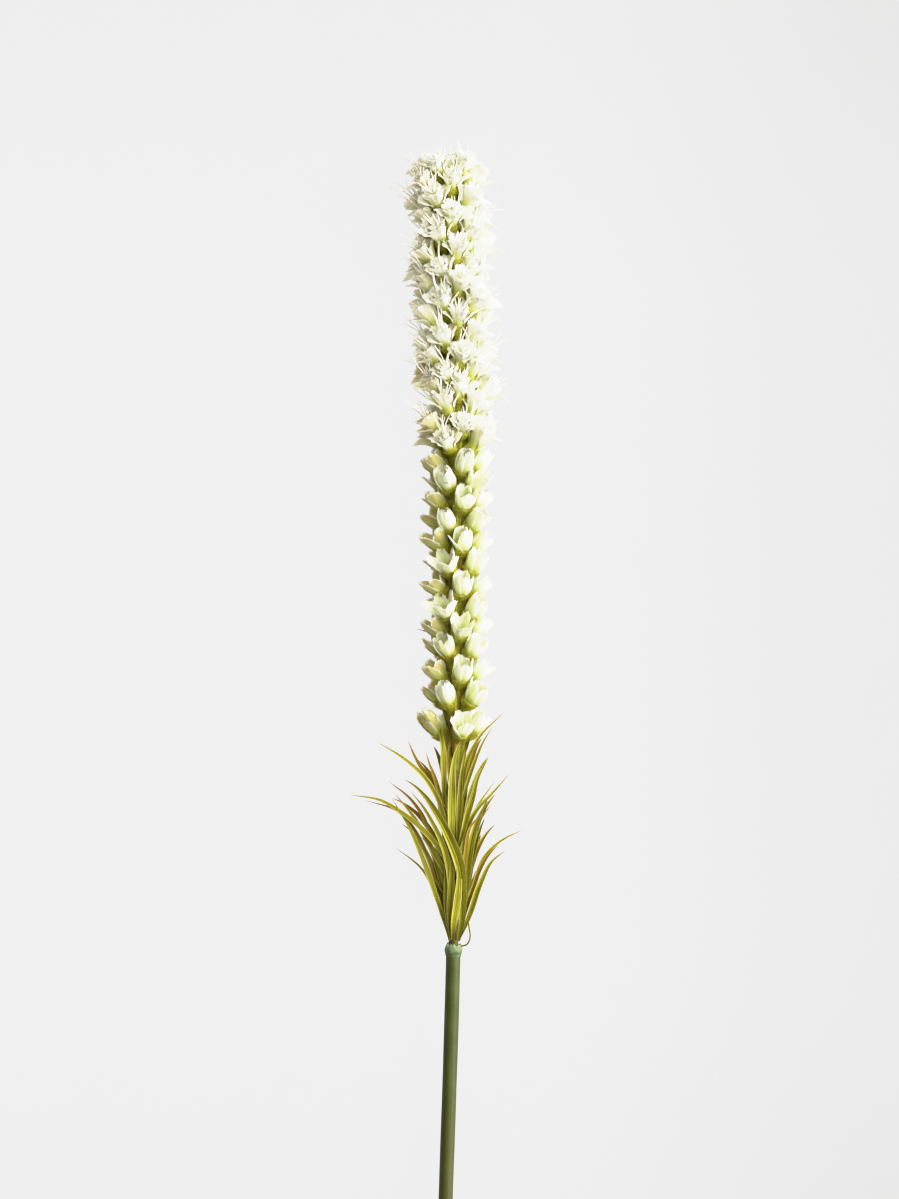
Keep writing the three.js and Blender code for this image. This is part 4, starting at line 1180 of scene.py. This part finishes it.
def make_buds():
    """The whorls of buds, each bud with petals of its own, a hairy calyx and a small leaf below it."""
    rng = np.random.default_rng(11)
    meshes, calyces, whorls, bracts = [], (Paths(), Paths()), [], Paths()
    for w, (height, shares) in enumerate(BUD_WHORLS):
        florets = whorl_of(w, height, BUD_MIDDLE, BUD_RISE, BUD_RISE)
        is_upper = 2 * w > len(BUD_WHORLS)
        for j, (floret, share) in enumerate(zip(florets, shares)):
            scatter = rng.uniform(-0.16, 0.16, 5)
            if isinstance(share, tuple):
                openness, floret.spin = share, -0.25  # the first petal is the near one
            else:
                openness = np.maximum(0, share + scatter)
            # Painted shadow: buds at the left place get the fullest warm tint.
            if j == LEFT_PLACE:
                floret.shade = 1.0
            stretch = LONG_BUD_STRETCH if (w, j) == LONG_BUD else 1.0
            floret.kind = len(meshes)
            meshes.append(bud_mesh(f"bud {w} {j}", 100 + floret.key, openness, stretch))
            pedicel = LOW_PEDICEL if w < LOW_WHORLS else BUD_PEDICEL
            calyx_line(calyces[is_upper], floret, BUD_CUP, pedicel)
            azimuth = azimuth_of(w, j) + LEAF_BESIDE_BUD[w % 2] + rng.uniform(-5, 5)
            leaf_line(
                bracts, floret.hub - rng.uniform(5, 10), azimuth, rng.uniform(14, 19), rng.uniform(7.0, 9.5),
                rng.uniform(2.4, 3.4), 400 + floret.key,
            )
        whorls.append(florets)
    kinds = kinds_of("bud", meshes)
    names = [f"bud_whorl_{w + 1:02d}" for w in range(len(BUD_WHORLS))]
    for name, florets in zip(names, whorls):
        set_florets(florets, kinds, BUD_CLOTH, name)
    fibres = {"Density": 3.6, "Length": 2.5, "Spread": 0.7, "Seed": 7}
    set_calyces("bud", calyces, names, fibres, Sides=14, Steps=22)
    set_leaves("bud_bracts", bracts, 12, LEAF_GREEN)


def make_open_florets():
    """The whorls of open florets and the last one on the stalk's end, with their calyces and threads."""
    rings = [FRONT_RINGS] * FRONT_KINDS + [ROUND_RINGS] * ROUND_KINDS
    kinds = kinds_of("open", [open_mesh(f"open {i}", 500 + i, ring) for i, ring in enumerate(rings)])
    rng = np.random.default_rng(23)
    calyces, threads, names = (Paths(), Paths()), Paths(), []
    for i in range(OPEN_WHORLS):
        near_tip = max(0, i + 1 - (OPEN_WHORLS - TIP_WHORLS))
        rise, shrink = OPEN_RISE + TIP_RISE * near_tip, 1 - TIP_SHRINK * near_tip
        height, is_upper = OPEN_FIRST_HEIGHT + i * OPEN_PITCH, 2 * i > OPEN_WHORLS
        florets = whorl_of(len(BUD_WHORLS) + i, height, OPEN_MIDDLE, OPEN_RISE, rise, FRONT_TILT, loose=2.4)
        for floret in florets:
            if floret.out[2] > TABLE_SIDE:
                floret.kind = int(rng.integers(FRONT_KINDS))
                upright = math.atan2(floret.top[2], floret.side[2]) / (2 * math.pi)
                floret.spin = upright + rng.uniform(-0.05, 0.05)
                floret.size *= mix(*OPEN_SIZES, max(0, floret.out[2]))
            else:
                floret.kind = FRONT_KINDS + int(rng.integers(ROUND_KINDS))
            calyx_line(calyces[is_upper], floret, OPEN_CUP, OPEN_PEDICEL, shrink * OPEN_CALYX)
            side, left = abs(floret.out[0]), max(0, -floret.out[0])
            long = THREAD_LENGTH + SIDE_THREAD * side + LEFT_THREAD * left + TIP_THREAD * near_tip
            thread_lines(threads, floret, rng, long)
        names.append(f"floret_whorl_{i + 1:02d}")
        set_florets(florets, kinds, FLORET_CLOTH, names[-1], shrink)
    top = Floret(STALK_TOP, 0, 90, 990)
    top.axis = axes_at(STALK_TOP)[0]
    top.foot = centre(STALK_TOP) - top.axis * TOP_DEPTH
    top.kind, top.size = FRONT_KINDS, TOP_SIZE
    thread_lines(threads, top, rng, TOP_THREAD_LENGTH)
    set_florets([top], kinds, FLORET_CLOTH, "floret_top")
    fibres = {"Density": 2.6, "Length": 2.3, "Spread": 0.65, "Seed": 9}
    set_calyces("floret", calyces, names, fibres, Sides=12, Steps=20)
    mesh = grown(TUBES, threads.mesh(), Sides=6, Steps=13, Finish=THREAD_WHITE)
    set_piece("floret_threads", mesh, names)


# Table, light and camera

def make_table():
    """A plain pale table top that glows as painted light."""
    mesh = bpy.data.meshes.new("table")
    corners = [(x * TABLE_REACH, y * TABLE_REACH, 0) for x, y in ((-1, -1), (1, -1), (1, 1), (-1, 1))]
    mesh.from_pydata(corners, [], [(0, 1, 2, 3)])
    mesh.materials.append(GLOWING_TABLE)
    table = in_scene("table", mesh)


def add_sun(name, energy, spread, towards, tint):
    """A broad soft light from far away."""
    sun = bpy.data.lights.new(name, "SUN")
    sun.energy, sun.angle, sun.color = energy, math.radians(spread), tint
    in_scene(name, sun).rotation_euler = Vector(towards).to_track_quat("Z", "Y").to_euler()


def make_light():
    """A soft light from the upper right, a weaker one from in front, and a warm room."""
    add_sun("soft key", *KEY_LIGHT)
    add_sun("front fill", *FRONT_FILL)
    world = bpy.data.worlds.new("studio")
    bpy.context.scene.world = world
    world.use_nodes = True
    room = world.node_tree.nodes["Background"].inputs
    room["Color"].default_value, room["Strength"].default_value = ROOM_COLOUR, ROOM_LIGHT


def set_exposure():
    """Plain colours, with highlights that roll off softly below white."""
    view = bpy.context.scene.view_settings
    view.view_transform = "Standard"
    view.use_curve_mapping = True
    mapping = view.curve_mapping
    brightest, whitest = HIGHLIGHTS[-1]
    mapping.white_level = (brightest,) * 3
    points = mapping.curves[3].points  # of the curve for all colours
    points[0].location, points[-1].location = (0, 0), (1, whitest)
    for level, shown in HIGHLIGHTS[:-1]:
        points.new(level / brightest, shown)
    mapping.update()


def make_camera():
    """Looks straight down at the flower's part of the stem."""
    lens = bpy.data.cameras.new("camera")
    lens.lens, lens.sensor_width, lens.clip_end = LENS, SENSOR, CAMERA_RANGE
    camera = in_scene("camera", lens)
    camera.location = CAMERA_SPOT
    bpy.context.scene.camera = camera


make_table()
make_light()
make_camera()
make_stem()
make_collar()
make_stalk()
make_leaves()
make_bracts()
make_buds()
make_open_florets()
set_exposure()
